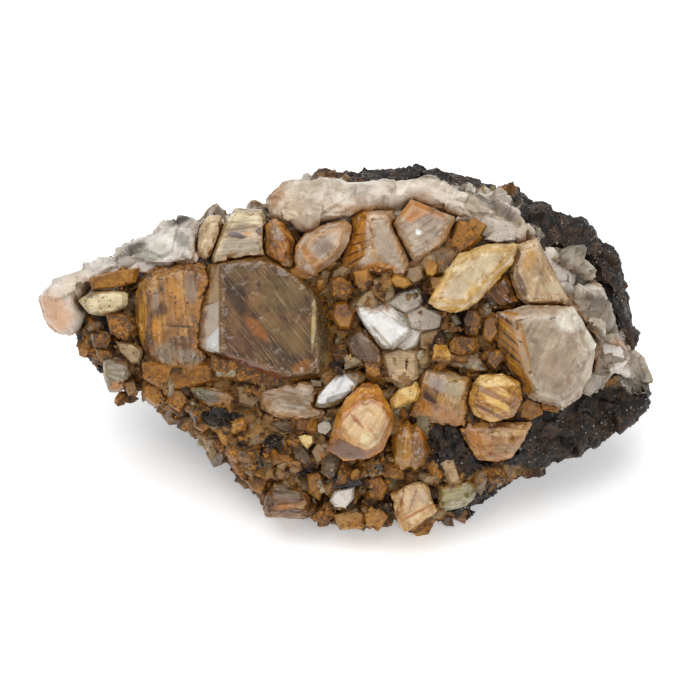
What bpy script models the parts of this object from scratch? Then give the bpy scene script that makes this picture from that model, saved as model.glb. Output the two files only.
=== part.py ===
"""A titanite specimen: honey and rust-stained crystals on a dark matrix with a pale quartz crust.

The specimen lies on a flat of its underside with its crystal face leaning back. Shapes are placed in a
face frame, in millimetres: u to the right along the face, v up along it and w out of it. face_point
brings a place in that frame to the specimen's own frame, and finish_objects brings it all to metres.
"""

import math
import random
from dataclasses import dataclass

import bmesh
import bpy
from mathutils import Matrix, Vector, noise

MM = 0.001
FACE_LEAN = math.radians(45)
GROUND = 29.5 / math.sqrt(2)
VIEW_DISTANCE = 700.0
ORIGIN_SHIFT = Vector((0.45, -3.386, 0.0))
GAP = 0.32

RING_POINTS = 34
RING_SPACING = 2.5
ROUNDNESS = 0.82
BROAD_SPAN = 9.0
BROAD_RELIEF = 1.1
CHIP_SPAN = 5.0
CHIP_RELIEF = 1.1
CHIP_LEVEL = 0.45
FINE_SPAN = 2.6
FINE_RELIEF = 0.55
FINE_SHIFT = Vector((31, 7, 3))
ROCK_VOXEL = 1.1
ROCK_FACES = 1700
FUSED_FACES = 3000
GROUND_BLOCK = 120.0
FOOT_CLEARANCE = 0.6
RIM_GROWTH = 1.05
ROOT_DEPTH = 2.5
SHELL_LIMIT = 2.0

# Sections of the matrix across its length: u, then bottom v and w, top v and w, front w and back w.
SECTIONS = [
    (-41.2, 3.0, -4.5, 9.6, -5.5, -3.0, -7.0),
    (-39.6, -0.2, -3.0, 11.2, -5.0, -0.5, -10.0),
    (-36.0, -4.0, -1.5, 13.2, -5.0, 1.6, -13.0),
    (-31.0, -7.2, 0.0, 15.8, -5.0, 3.2, -16.0),
    (-25.0, -11.4, 0.5, 19.3, -5.5, 5.2, -19.0),
    (-19.0, -16.4, 0.0, 20.2, -6.0, 6.6, -22.0),
    (-12.5, -23.6, -1.5, 21.8, -6.0, 7.4, -25.0),
    (-5.0, -24.8, -3.0, 26.0, -6.0, 7.8, -27.0),
    (3.0, -26.3, -3.0, 26.8, -6.0, 8.0, -27.5),
    (11.0, -26.0, -3.0, 27.4, -6.0, 8.2, -27.5),
    (18.0, -24.6, -2.5, 26.0, -6.0, 7.8, -26.0),
    (23.0, -20.2, -1.5, 24.4, -6.0, 7.0, -23.5),
    (28.0, -17.8, -0.5, 21.8, -6.0, 6.0, -20.0),
    (34.0, -16.2, 0.0, 20.0, -6.0, 3.6, -16.5),
    (38.8, -13.2, -0.5, 16.9, -6.0, 0.6, -13.5),
    (40.2, -12.2, -1.0, 14.2, -5.5, 0.0, -12.0),
    (41.5, -11.4, -1.0, 0.6, -5.5, -0.6, -11.0),
    (43.2, -10.4, -1.5, -0.8, -5.0, -1.0, -9.5),
    (45.2, -9.2, -3.0, -5.0, -5.0, -2.8, -7.5),
]

# Base colour, roughness and metallic value of each kind of surface.
FINISHES = {
    "matrix": ((0.035, 0.035, 0.035), 0.55, 0.0),
    "quartz": ((0.78, 0.74, 0.68), 0.35, 0.0),
    "rusty": ((0.36, 0.19, 0.07), 0.6, 0.0),
    "smoky": ((0.28, 0.2, 0.11), 0.2, 0.0),
    "amber": ((0.52, 0.28, 0.08), 0.3, 0.0),
    "honey": ((0.68, 0.52, 0.25), 0.15, 0.0),
    "pale": ((0.55, 0.48, 0.42), 0.35, 0.0),
    "beige": ((0.5, 0.42, 0.31), 0.4, 0.0),
    "brown": ((0.2, 0.14, 0.09), 0.45, 0.0),
    "olive": ((0.36, 0.33, 0.17), 0.45, 0.0),
}


@dataclass
class Crystal:
    """One crystal. rim is the outline of its widest part and face that of its front facet, both in u and v.

    Without a face outline, the front facet is the rim drawn in by face_share. slope is how far the
    front facet rises along u and along v, and stand is the height of the facet above the rim.
    """

    name: str
    finish: str
    w: float
    rim: list
    face: list = None
    slope: tuple = (0.0, 0.0)
    stand: float = 1.3
    face_share: float = 0.76
    root_share: float = 0.88


CRYSTALS = [
    Crystal(
        "large_smoky_crystal", "smoky", 9.5,
        rim=[(-22.7, 5.2), (-22.6, 0.8), (-20.4, -0.8), (-11.0, -5.0), (-4.2, -4.2), (-1.6, -1.8),
             (-2.2, 4.0), (-3.6, 8.2), (-8.0, 12.0), (-13.0, 14.0), (-20.8, 12.4)],
        face=[(-19.3, 12.8), (-12.5, 13.3), (-8.5, 11.3), (-5.4, 8.0), (-4.8, 0.0), (-5.0, -3.2),
              (-9.0, -3.7), (-12.0, -2.9), (-19.3, -0.2)],
        slope=(-0.06, -0.05), stand=3.6, root_share=0.95,
    ),
    Crystal(
        "rusty_block", "rusty", 7.4,
        rim=[(-31.8, 9.0), (-32.0, 4.0), (-30.8, -0.5), (-28.5, -4.6), (-22.0, -5.0), (-20.0, -3.0),
             (-19.8, 9.5), (-22.0, 12.9), (-29.5, 12.0)],
        face=[(-30.4, 10.4), (-24.0, 11.8), (-21.4, 10.8), (-20.8, 8.5), (-22.5, 5.0), (-22.7, 0.0),
              (-24.0, -2.5), (-28.3, -2.0), (-30.4, 2.0)],
        slope=(0.1, 0.04), stand=3.4, root_share=0.95,
    ),
    Crystal(
        "hexagonal_amber_crystal", "amber", 13.0,
        rim=[(4.2, -5.2), (2.0, -5.2), (-0.3, -7.2), (-1.8, -9.6), (-3.2, -14.8), (-0.8, -16.3),
             (3.0, -16.1), (4.8, -14.8), (6.2, -12.0), (6.5, -9.8), (5.2, -7.2)],
        face=[(3.1, -7.5), (5.0, -8.2), (5.7, -10.0), (4.0, -13.2), (2.4, -14.4), (0.2, -13.8),
              (-1.2, -12.0), (-1.2, -9.8), (0.5, -8.5)],
        slope=(0.05, -0.16), stand=2.6, root_share=0.8,
    ),
    Crystal(
        "honey_blade", "honey", 12.0,
        rim=[(11.8, 7.2), (14.2, 11.4), (16.2, 14.2), (20.0, 15.6), (24.8, 15.8), (24.2, 12.8),
             (20.2, 9.2), (18.4, 6.6), (15.6, 5.7), (12.8, 6.5)],
        face=[(13.2, 7.9), (15.6, 12.9), (20.0, 14.9), (24.2, 15.2), (22.4, 12.5), (19.2, 10.0),
              (17.6, 7.3), (15.2, 7.0)],
        slope=(-0.3, -0.08), stand=1.1, root_share=0.7,
    ),
    Crystal(
        "large_pale_crystal", "pale", 10.0,
        rim=[(22.2, 5.4), (22.0, 1.0), (24.0, -2.8), (26.8, -7.0), (28.4, -7.4), (31.8, -8.6),
             (34.2, -6.8), (35.8, -3.8), (36.6, 0.8), (33.4, 6.2), (27.0, 6.4)],
        face=[(24.6, 4.8), (31.0, 4.9), (34.0, 2.8), (35.2, 0.0), (34.2, -3.2), (33.6, -5.4),
              (31.6, -7.4), (28.6, -6.6), (27.0, -4.2), (26.0, -1.0)],
        slope=(0.04, 0.1), stand=2.6, root_share=0.9,
    ),
    Crystal(
        "silver_faced_crystal", "pale", 8.8,
        rim=[(-5.3, -8.4), (-4.4, -6.0), (-1.4, -2.7), (1.2, -2.9), (2.6, -4.0), (1.0, -6.2),
             (-1.2, -7.8), (-3.5, -8.7)],
        face=[(-4.9, -7.9), (-4.0, -6.0), (-1.3, -3.1), (-0.5, -4.2), (1.0, -5.5), (-0.5, -6.8),
              (-2.6, -7.6)],
        slope=(0.0, -0.34), stand=0.9,
    ),
    Crystal(
        "beige_block", "beige", 8.2,
        rim=[(-14.0, -6.3), (-11.0, -5.4), (-7.2, -4.4), (-5.2, -4.8), (-3.8, -10.0), (-8.0, -10.7),
             (-11.5, -10.0), (-13.4, -8.6)],
        slope=(0.05, -0.1), face_share=0.84,
    ),
    Crystal(
        "twin_amber_crystal", "amber", 9.2,
        rim=[(6.2, -13.0), (7.4, -10.9), (8.7, -10.6), (9.8, -12.6), (9.8, -17.0), (8.0, -17.8),
             (6.6, -17.2)],
        slope=(0.1, -0.08), face_share=0.62, stand=1.6,
    ),
    Crystal(
        "cube_crystal", "beige", 6.6,
        rim=[(6.2, -21.6), (9.0, -19.8), (11.5, -19.9), (12.9, -24.2), (8.2, -27.3), (7.2, -25.6)],
        face=[(6.7, -21.8), (9.1, -20.2), (11.3, -20.3), (12.4, -23.5), (7.6, -24.6)],
        slope=(0.0, -0.22), stand=0.8, root_share=0.8,
    ),
    Crystal(
        "amber_block", "beige", 9.4,
        rim=[(9.0, -9.8), (10.2, -4.4), (11.4, -2.5), (14.0, -2.7), (18.0, -4.3), (17.8, -8.5),
             (17.0, -11.3), (12.8, -10.9)],
        face=[(11.4, -3.3), (17.3, -4.8), (17.0, -7.8), (13.4, -7.4), (10.9, -5.0)],
        slope=(0.05, -0.12), stand=2.2,
    ),
    Crystal(
        "banded_crystal", "amber", 11.0,
        rim=[(18.6, -5.0), (19.8, -3.8), (23.0, -3.7), (25.4, -5.0), (25.6, -7.6), (24.4, -9.8),
             (21.2, -10.8), (18.6, -9.5), (17.9, -7.4)],
        face=[(19.6, -4.5), (23.4, -4.3), (24.2, -6.2), (23.3, -8.4), (21.0, -8.6), (19.2, -7.4)],
        slope=(0.0, -0.14), stand=1.8,
    ),
    Crystal(
        "anvil_crystal", "beige", 8.6,
        rim=[(16.4, -11.8), (17.4, -11.0), (25.0, -11.2), (27.2, -10.9), (25.8, -13.8), (24.2, -16.0),
             (22.0, -16.6), (19.2, -16.4), (17.8, -13.8)],
        face=[(19.4, -12.3), (24.6, -12.4), (24.2, -14.6), (22.8, -15.8), (19.8, -15.6), (18.8, -13.8)],
        slope=(0.0, 0.1), stand=1.2,
    ),
    Crystal(
        "pink_rounded_crystal", "pale", 10.0,
        rim=[(-8.1, 15.4), (-6.6, 17.4), (-4.0, 18.6), (-0.9, 19.4), (0.1, 18.4), (-0.4, 16.0),
             (-1.6, 14.0), (-3.6, 12.6), (-5.4, 11.4), (-8.0, 12.4)],
        slope=(-0.05, -0.1), face_share=0.66, stand=1.8,
    ),
    Crystal(
        "rusty_rounded_crystal", "rusty", 9.0,
        rim=[(-12.7, 18.4), (-11.6, 19.6), (-10.0, 19.0), (-8.4, 16.4), (-8.4, 12.2), (-9.6, 11.4),
             (-11.4, 12.6), (-12.7, 14.6)],
        slope=(0.1, 0.0), face_share=0.55, stand=2.2,
    ),
    Crystal(
        "striated_crystal", "beige", 9.0,
        rim=[(0.3, 19.6), (2.0, 21.0), (6.3, 20.6), (9.4, 12.2), (8.4, 10.8), (4.2, 11.2), (-1.0, 12.4),
             (-1.0, 14.2), (0.4, 17.0)],
        face=[(3.0, 20.0), (5.5, 20.2), (6.2, 17.8), (8.8, 12.2), (7.8, 11.3), (5.8, 11.8), (3.4, 14.4)],
        slope=(0.02, -0.08), stand=2.6,
    ),
    Crystal(
        "rhombic_crystal", "pale", 9.4,
        rim=[(6.6, 18.8), (9.2, 22.4), (11.6, 21.4), (15.6, 19.8), (14.0, 15.6), (11.4, 14.3),
             (9.8, 13.0)],
        face=[(7.0, 18.7), (9.3, 21.6), (14.8, 19.5), (13.2, 15.8), (9.8, 13.7)],
        slope=(0.0, -0.12), stand=1.0,
    ),
    Crystal(
        "cream_block", "beige", 7.4,
        rim=[(-21.0, 12.6), (-20.0, 15.0), (-18.9, 18.4), (-17.2, 21.0), (-13.2, 20.8), (-12.4, 17.5),
             (-12.6, 13.6), (-16.0, 13.2)],
        slope=(0.0, -0.14), face_share=0.86, stand=1.6,
    ),
    Crystal(
        "cream_chip", "quartz", 6.0,
        rim=[(-22.8, 14.2), (-22.4, 18.0), (-21.2, 20.0), (-19.4, 20.0), (-19.3, 18.0), (-20.4, 14.6),
             (-21.6, 13.4)],
        slope=(0.15, -0.1), stand=1.0,
    ),
    Crystal(
        "tongue_crystal", "quartz", 5.0,
        rim=[(-40.6, 7.4), (-39.2, 5.6), (-37.4, 5.2), (-35.0, 5.5), (-33.5, 6.8), (-33.4, 8.4),
             (-35.0, 9.0), (-38.4, 8.8)],
        slope=(0.1, -0.12), face_share=0.7, stand=1.2,
    ),
    Crystal(
        "white_crystal", "quartz", 10.0,
        rim=[(0.8, 6.0), (1.8, 7.1), (5.0, 7.4), (8.8, 4.6), (9.2, 2.6), (7.6, 1.2), (6.4, 0.1), (4.8, 0.4),
             (2.6, 3.2)],
        slope=(0.0, -0.2), face_share=0.86, stand=1.0,
    ),
    Crystal(
        "dark_wedge", "brown", 8.6,
        rim=[(-0.9, 1.4), (1.0, 3.4), (2.4, 3.0), (4.6, 0.2), (5.2, -1.4), (4.6, -3.4), (1.5, -2.0),
             (0.1, -0.6)],
        slope=(0.15, 0.1), stand=1.2,
    ),
    Crystal(
        "grey_green_wedge", "olive", 7.4,
        rim=[(12.8, -1.6), (15.4, -0.6), (19.0, 0.2), (20.3, -1.8), (21.2, -3.2), (18.4, -3.4), (14.0, -2.2)],
        slope=(0.0, -0.16), face_share=0.84,
    ),
    Crystal(
        "cream_crystal_right", "beige", 8.0,
        rim=[(24.0, 11.4), (25.2, 15.6), (28.0, 16.6), (28.9, 14.6), (28.4, 12.0), (31.6, 9.2),
             (33.0, 6.8), (27.0, 6.6), (25.2, 8.0)],
        slope=(-0.1, -0.14), face_share=0.82, stand=1.6,
    ),
    Crystal(
        "brown_wedge", "brown", 7.4,
        rim=[(18.8, 8.0), (20.2, 9.8), (23.0, 11.8), (24.4, 9.6), (25.3, 7.0), (22.6, 5.6), (19.6, 6.4)],
        slope=(0.1, 0.12), face_share=0.7,
    ),
    Crystal(
        "boat_crystal", "rusty", 6.8,
        rim=[(-24.2, -5.6), (-21.6, -5.4), (-18.6, -5.8), (-16.2, -7.4), (-17.4, -8.8), (-19.6, -9.3),
             (-21.2, -8.8), (-23.0, -7.2)],
        slope=(0.0, 0.16), face_share=0.7, stand=1.6,
    ),
    Crystal(
        "brown_pillar", "brown", 5.6,
        rim=[(-15.8, -8.4), (-13.4, -9.0), (-12.4, -10.4), (-12.6, -12.3), (-13.4, -13.8), (-15.3, -14.2),
             (-16.2, -11.0)],
        slope=(-0.1, 0.05), face_share=0.66, stand=1.8,
    ),
    Crystal(
        "stepped_brown_block", "rusty", 4.6,
        rim=[(-12.5, -24.9), (-12.9, -23.6), (-11.6, -19.6), (-9.8, -19.2), (-6.6, -20.8), (-6.0, -23.0),
             (-6.6, -25.0)],
        slope=(0.0, -0.12), face_share=0.78, stand=1.8,
    ),
    Crystal(
        "olive_crystal", "olive", 5.6,
        rim=[(13.2, -20.4), (16.0, -19.9), (18.0, -19.2), (19.0, -20.2), (18.9, -21.5), (17.5, -23.2),
             (14.6, -24.0), (13.3, -23.4)],
        slope=(-0.05, -0.2), face_share=0.75,
    ),
    Crystal(
        "grey_block_left", "pale", 3.6,
        rim=[(-36.9, -1.0), (-33.4, -1.4), (-32.8, -3.4), (-34.4, -6.1), (-36.0, -6.3), (-36.9, -3.8)],
        slope=(0.1, -0.05), stand=0.9,
    ),
]

# Crystals that have grown into one piece with the matrix: w, the slope along u and along v, and the rim.
FUSED_CRYSTALS = [
    (8.0, (0.0, 0.2), [(-9.4, 12.0), (-7.8, 12.6), (-5.2, 11.8), (-4.4, 11.2), (-6.2, 10.5), (-8.4, 10.9)]),
    (9.6, (0.0, -0.2), [(6.2, -7.4), (6.4, -8.8), (9.9, -7.5), (10.4, -6.2), (9.8, -4.9), (7.4, -5.9)]),
    (5.6, (0.1, -0.1), [(25.7, -8.0), (26.6, -7.2), (28.6, -7.9), (28.8, -9.5), (27.0, -10.4),
        (25.2, -10.2)]),
    (10.0, (0.0, 0.0), [(11.2, 12.4), (11.6, 13.6), (12.4, 13.8), (13.1, 12.8), (13.1, 11.6),
        (12.4, 11.0), (11.5, 11.3)]),
    (9.4, (0.0, 0.0), [(6.2, 10.3), (7.0, 10.9), (8.6, 10.3), (8.9, 9.6), (8.0, 9.1), (6.9, 9.4)]),
    (7.6, (0.1, 0.0), [(14.4, 15.0), (15.6, 17.6), (16.4, 19.6), (17.4, 19.4), (19.6, 16.8),
        (18.2, 15.6), (16.4, 14.4)]),
    (7.4, (0.0, -0.2), [(20.2, 16.6), (21.8, 18.1), (24.5, 17.3), (24.6, 16.5), (22.2, 16.1)]),
    (8.4, (0.0, -0.2), [(7.4, 8.9), (9.0, 9.0), (10.4, 9.8), (11.0, 8.2), (9.6, 7.4), (7.4, 7.8)]),
    (7.8, (0.0, -0.1), [(9.4, 6.2), (11.8, 6.2), (14.2, 5.2), (13.6, 3.4), (11.2, 3.9), (9.5, 3.0)]),
    (9.0, (0.1, -0.1), [(17.6, 6.2), (19.2, 6.0), (19.7, 4.4), (19.0, 2.4), (17.4, 2.5), (16.9, 4.6)]),
    (8.4, (0.0, 0.1), [(14.6, 0.9), (15.6, 2.2), (18.9, 1.9), (19.0, 0.0), (16.4, -0.9), (14.8, -0.4)]),
    (6.6, (0.0, 0.4), [(-12.2, -11.0), (-11.0, -10.6), (-8.0, -11.1), (-6.4, -11.0), (-7.2, -12.3),
        (-10.0, -12.4)]),
    (6.6, (0.1, -0.1), [(-8.8, -14.4), (-7.6, -13.8), (-6.3, -15.4), (-5.8, -16.5), (-6.6, -17.3),
        (-8.3, -16.4)]),
    (6.8, (-0.1, -0.1), [(-5.8, -15.2), (-4.8, -13.8), (-3.7, -14.6), (-3.9, -16.4), (-4.9, -17.2)]),
    (7.4, (0.1, -0.2), [(-7.9, -12.9), (-6.8, -12.6), (-5.6, -12.9), (-5.5, -13.8), (-6.4, -14.8),
        (-7.5, -13.8)]),
    (7.2, (0.0, -0.2), [(-5.0, -11.2), (-3.9, -10.5), (-3.0, -10.7), (-2.6, -11.8), (-3.6, -12.8),
        (-4.9, -12.4)]),
    (6.0, (0.0, -0.15), [(-2.9, -22.3), (-2.4, -21.3), (-1.0, -21.0), (0.2, -21.5), (0.4, -22.7),
        (-0.5, -23.6), (-1.7, -23.6), (-2.6, -23.1)]),
    (5.4, (0.1, -0.1), [(-20.2, -11.8), (-19.0, -11.6), (-17.0, -12.6), (-17.1, -14.0), (-18.2, -14.7),
        (-19.2, -13.9)]),
    (5.2, (-0.1, -0.15), [(-35.0, 1.2), (-32.6, 0.9), (-31.2, -0.2), (-31.5, -1.8), (-32.8, -1.8),
        (-34.2, -0.4)]),
    (7.8, (0.0, 0.3), [(-20.2, -1.0), (-15.0, -1.6), (-11.0, -4.4), (-8.5, -4.6), (-9.0, -5.6),
        (-12.0, -6.0), (-17.0, -4.6), (-20.5, -3.0)]),
    (6.4, (0.0, 0.2), [(-30.6, -2.0), (-26.0, -3.0), (-20.5, -2.2), (-20.0, -4.5), (-24.0, -5.6),
        (-28.0, -5.8), (-30.6, -4.2)]),
    (6.8, (0.1, 0.0), [(-17.0, -5.4), (-13.8, -5.0), (-13.0, -7.0), (-14.5, -8.6), (-16.8, -8.0)]),
    (4.8, (0.1, -0.1), [(-13.0, -16.5), (-11.0, -15.8), (-9.4, -17.0), (-10.0, -19.0), (-12.4, -18.8)]),
    (4.0, (-0.1, -0.1), [(-18.2, -16.0), (-16.4, -14.9), (-14.6, -15.8), (-15.0, -17.8), (-17.0, -18.2)]),
    (3.2, (0.1, -0.1), [(-15.6, -19.6), (-13.6, -18.4), (-12.2, -19.4), (-13.2, -21.6), (-14.6, -21.0)]),
    (3.6, (0.0, -0.2), [(-2.4, -24.6), (0.4, -23.9), (2.2, -24.6), (1.8, -26.6), (-1.4, -26.9)]),
    (4.2, (0.1, -0.2), [(1.8, -23.4), (4.6, -23.2), (5.6, -24.8), (4.6, -26.6), (2.4, -26.2)]),
    (5.6, (0.0, -0.1), [(-4.2, -19.8), (-2.2, -18.4), (1.6, -18.9), (2.4, -20.3), (-0.4, -20.7),
        (-3.0, -21.0)]),
    (5.4, (0.1, -0.1), [(2.4, -19.4), (4.6, -18.8), (5.8, -20.4), (4.8, -22.4), (2.8, -22.0)]),
    (5.0, (-0.1, 0.0), [(-6.4, -18.8), (-4.6, -18.2), (-3.8, -20.2), (-4.6, -22.4), (-6.2, -21.2)]),
    (9.2, (0.1, -0.2), [(5.4, -0.6), (7.4, 0.4), (9.6, -0.6), (9.2, -3.0), (6.6, -3.8), (5.2, -2.4)]),
    (9.0, (0.0, -0.1), [(9.8, 0.2), (12.4, -0.4), (12.6, -2.2), (10.6, -2.6), (9.6, -1.6)]),
    (9.2, (0.2, 0.0), [(-3.0, 10.6), (-1.0, 11.0), (0.4, 9.2), (-0.6, 7.4), (-2.6, 8.0)]),
    (9.4, (0.1, -0.1), [(-2.2, 7.0), (-0.6, 7.2), (0.6, 5.4), (0.0, 3.2), (-1.6, 3.4), (-2.6, 5.0)]),
    (9.6, (0.0, 0.1), [(1.2, 10.6), (3.0, 10.9), (4.4, 9.4), (3.4, 7.8), (1.4, 8.2)]),
    (8.8, (-0.1, 0.0), [(20.2, 4.8), (21.6, 5.2), (22.2, 2.6), (21.0, 0.9), (19.9, 2.0)]),
    (8.8, (0.1, -0.1), [(20.6, -0.2), (22.8, 0.0), (23.2, -1.0), (21.8, -3.0), (20.6, -2.0)]),
    (9.2, (0.0, -0.2), [(11.9, 11.0), (14.2, 11.0), (13.8, 9.6), (12.3, 9.0)]),
    (9.2, (-0.1, 0.1), [(8.8, 12.2), (10.6, 12.8), (11.1, 10.8), (9.6, 9.9), (8.4, 10.8)]),
    (9.2, (0.1, 0.0), [(11.4, 14.6), (14.0, 15.4), (16.0, 14.2), (14.4, 11.4), (13.0, 11.4)]),
    (7.2, (0.0, 0.1), [(17.0, 18.8), (18.6, 19.8), (20.4, 18.6), (19.6, 17.0), (17.6, 16.9)]),
    (5.2, (0.0, -0.1), [(34.6, -4.9), (36.0, -3.5), (38.8, -3.7), (38.0, -5.2), (36.0, -6.8),
        (34.9, -6.4)]),
    (6.0, (0.0, -0.1), [(28.6, -7.5), (29.5, -7.0), (31.9, -8.1), (31.0, -9.3), (28.7, -8.9)]),
    (3.2, (0.0, -0.1), [(-38.8, 2.4), (-37.0, 2.6), (-35.6, 1.4), (-36.4, 0.2), (-38.4, 0.6)]),
    (2.6, (0.1, -0.1), [(-38.2, 0.2), (-36.4, 0.0), (-35.4, -0.9), (-37.0, -1.6)]),
    (2.8, (0.1, 0.0), [(-34.0, -4.9), (-32.4, -4.6), (-31.8, -6.2), (-33.2, -6.8)]),
    (3.8, (0.1, -0.1), [(-31.0, -5.2), (-28.6, -5.2), (-27.8, -7.2), (-29.2, -8.3), (-30.6, -7.2)]),
    (4.6, (-0.1, -0.1), [(-27.4, -6.0), (-25.0, -5.8), (-24.2, -7.6), (-25.6, -9.2), (-27.2, -8.2)]),
    (3.8, (0.0, -0.1), [(-23.6, -9.8), (-21.4, -9.6), (-20.6, -11.4), (-22.0, -12.3), (-23.4, -11.4)]),
    (5.4, (0.1, -0.1), [(-36.4, 5.2), (-33.6, 5.4), (-32.2, 3.4), (-33.6, 1.6), (-35.8, 2.6)]),
    (4.4, (0.0, 0.2), [(-38.8, 10.8), (-35.0, 11.8), (-31.8, 12.2), (-32.4, 10.2), (-35.0, 9.4),
        (-38.4, 9.2)]),
]
FUSED_STAND = 1.0
FUSED_FACE_SHARE = 0.72

# The other half of each twin, which meets the first along a seam.
TWIN_HALVES = {
    "twin_amber_crystal": Crystal(
        "twin_amber_half", "amber", 9.0,
        rim=[(8.6, -12.2), (10.0, -10.9), (10.8, -11.2), (11.3, -12.6), (11.8, -15.2), (11.0, -17.0),
             (9.6, -18.0), (8.6, -16.4)],
        slope=(-0.15, -0.08), face_share=0.6, stand=1.6,
    ),
}

# Patches of small crystals that grow out of the matrix: u and v of the middle, half width and half height,
# how many, their size and how far they stand out.
SMALL_CRYSTALS = [
    (-32.6, -2.6, 1.8, 1.0, 2, 2.5, 1.6),
    (-22.4, -8.6, 2.0, 0.8, 2, 2.6, 1.2),
    (-19.0, -10.4, 1.8, 1.0, 3, 2.6, 1.4),
    (-18.4, -13.6, 1.6, 1.0, 2, 2.6, 1.4),
    (-13.4, -15.6, 1.4, 1.6, 3, 2.8, 1.6),
    (-10.4, -13.6, 1.4, 1.0, 3, 2.6, 1.6),
    (-8.4, -18.0, 1.4, 0.9, 2, 2.8, 1.4),
    (-1.2, -17.6, 2.4, 0.7, 3, 2.4, 1.4),
    (4.6, -17.2, 1.2, 0.8, 2, 2.6, 1.4),
    (-4.6, -23.8, 1.4, 1.0, 3, 2.8, 1.6),
    (5.4, -22.6, 0.8, 1.2, 2, 2.4, 1.4),
    (7.8, -4.6, 1.6, 0.8, 2, 2.6, 1.6),
    (3.2, 6.9, 1.2, 0.6, 2, 2.4, 2.0),
    (5.6, 9.0, 1.2, 1.2, 3, 2.6, 2.0),
    (13.4, 8.4, 1.0, 0.8, 2, 2.4, 1.6),
    (12.8, 1.6, 1.6, 1.2, 3, 2.6, 1.8),
    (15.2, 4.6, 1.2, 1.0, 2, 2.6, 1.8),
    (14.0, -13.8, 1.8, 1.6, 3, 2.6, 1.0),
    (15.2, -25.0, 2.4, 0.6, 3, 2.4, 1.4),
    (1.0, 16.8, 0.8, 1.8, 2, 2.6, 1.4),
]

# Rounded lumps of each quartz crust: u, v and w of the middle, then the half size along each.
CRUSTS = {
    "quartz_crust_left": [
        (-43.2, 7.2, -1.2, 3.3, 4.4, 4.0), (-42.8, 5.0, -0.8, 3.3, 3.0, 3.6),
        (-41.6, 8.8, -1.0, 3.0, 2.9, 3.6), (-38.6, 11.0, -0.6, 3.2, 1.8, 3.2),
        (-35.2, 12.6, 0.0, 3.2, 1.7, 3.4), (-32.0, 14.0, 0.8, 3.2, 2.2, 3.6),
        (-29.6, 14.8, 1.8, 3.2, 3.1, 3.8), (-27.4, 13.4, 3.0, 3.6, 1.9, 3.4),
        (-26.8, 16.6, 1.2, 2.6, 2.8, 3.4), (-25.0, 18.2, 0.6, 2.8, 1.7, 3.2),
        (-24.2, 14.4, 3.0, 2.6, 2.2, 3.4),
    ],
    "quartz_crust_top": [
        (-10.2, 21.8, 3.8, 2.4, 2.9, 3.6), (-8.2, 23.6, 2.4, 2.8, 2.5, 3.6),
        (-6.4, 20.4, 6.0, 3.8, 3.0, 3.6), (-3.2, 23.6, 3.4, 3.4, 2.7, 3.8),
        (-1.8, 21.2, 5.8, 3.2, 2.4, 3.4), (1.8, 22.8, 4.6, 3.4, 2.9, 3.6),
        (4.8, 23.2, 3.6, 3.2, 2.9, 3.6), (7.8, 23.4, 3.2, 3.2, 2.5, 3.6),
        (11.0, 23.8, 2.6, 3.2, 2.5, 3.6), (14.0, 22.4, 3.4, 3.4, 2.9, 3.6),
        (17.2, 21.2, 3.4, 3.2, 3.0, 3.4), (20.2, 19.9, 3.4, 3.0, 2.9, 3.4),
        (23.0, 18.7, 3.2, 2.8, 2.6, 3.2), (25.6, 17.4, 2.8, 2.3, 2.2, 3.0),
    ],
    "quartz_crust_right": [
        (36.4, 6.2, 2.2, 2.5, 3.0, 3.2), (35.4, 2.6, 3.8, 2.8, 3.1, 3.4),
        (37.6, 0.8, 2.4, 2.6, 2.5, 3.2), (39.8, -0.6, 1.0, 2.3, 2.1, 3.0),
        (41.8, -2.2, 0.2, 2.1, 2.2, 2.8), (43.4, -4.4, -0.8, 1.3, 2.3, 2.5),
        (37.8, -2.4, 2.4, 2.8, 2.0, 3.0), (36.2, -4.8, 2.8, 2.4, 1.7, 2.8),
        (38.8, 4.2, 0.8, 1.4, 2.0, 2.8), (32.8, 7.4, 4.2, 2.4, 1.4, 2.8),
        (37.4, 8.8, 0.6, 1.5, 1.3, 2.6),
    ],
    "quartz_vein": [
        (31.8, 13.8, 2.4, 2.2, 1.3, 2.6), (34.2, 13.0, 1.8, 2.3, 1.6, 2.6),
        (36.0, 11.4, 1.4, 1.8, 1.3, 2.4),
    ],
}
CRUST_FINISH = "quartz"
LUMP_VOXEL = 0.85
LUMP_UNEVENNESS = 0.42
LUMP_DETAIL = 2.3
CRUST_GAP = 0.6
CRUST_FACES = {
    "quartz_crust_left": 300,
    "quartz_crust_top": 400,
    "quartz_crust_right": 240,
    "quartz_vein": 80,
}
SEED = 11


def face_point(u, v, w):
    """The place, in millimetres in the specimen's frame, of u, v and w as seen from VIEW_DISTANCE."""
    nearness = 1.0 - w / VIEW_DISTANCE
    y = v * nearness * math.sin(FACE_LEAN) - w * math.cos(FACE_LEAN)
    z = v * nearness * math.cos(FACE_LEAN) + w * math.sin(FACE_LEAN) + GROUND
    return Vector((u * nearness, y, z))


def section_at(u):
    """The section of the matrix at u, drawn smoothly through its neighbours in SECTIONS."""
    u = min(max(u, SECTIONS[0][0]), SECTIONS[-1][0])
    last = len(SECTIONS) - 2
    index = next((i for i in range(last + 1) if u <= SECTIONS[i + 1][0]), last)
    before, after = SECTIONS[index], SECTIONS[index + 1]
    share = (u - before[0]) / (after[0] - before[0])
    return [a + (b - a) * share for a, b in zip(before[1:], after[1:])]


def surface_w(u, v):
    """How far the bare front of the matrix stands out at u, v."""
    v_bottom, w_bottom, v_top, w_top, w_front, _ = section_at(u)
    v_middle = (v_bottom + v_top) / 2
    v_edge, w_edge = (v_top, w_top) if v > v_middle else (v_bottom, w_bottom)
    reach = min(abs((v - v_middle) / (v_edge - v_middle)), 1.0)
    turn = math.acos(reach ** (1 / ROUNDNESS))
    return w_edge + (w_front - w_edge) * math.sin(turn) ** ROUNDNESS


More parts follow.
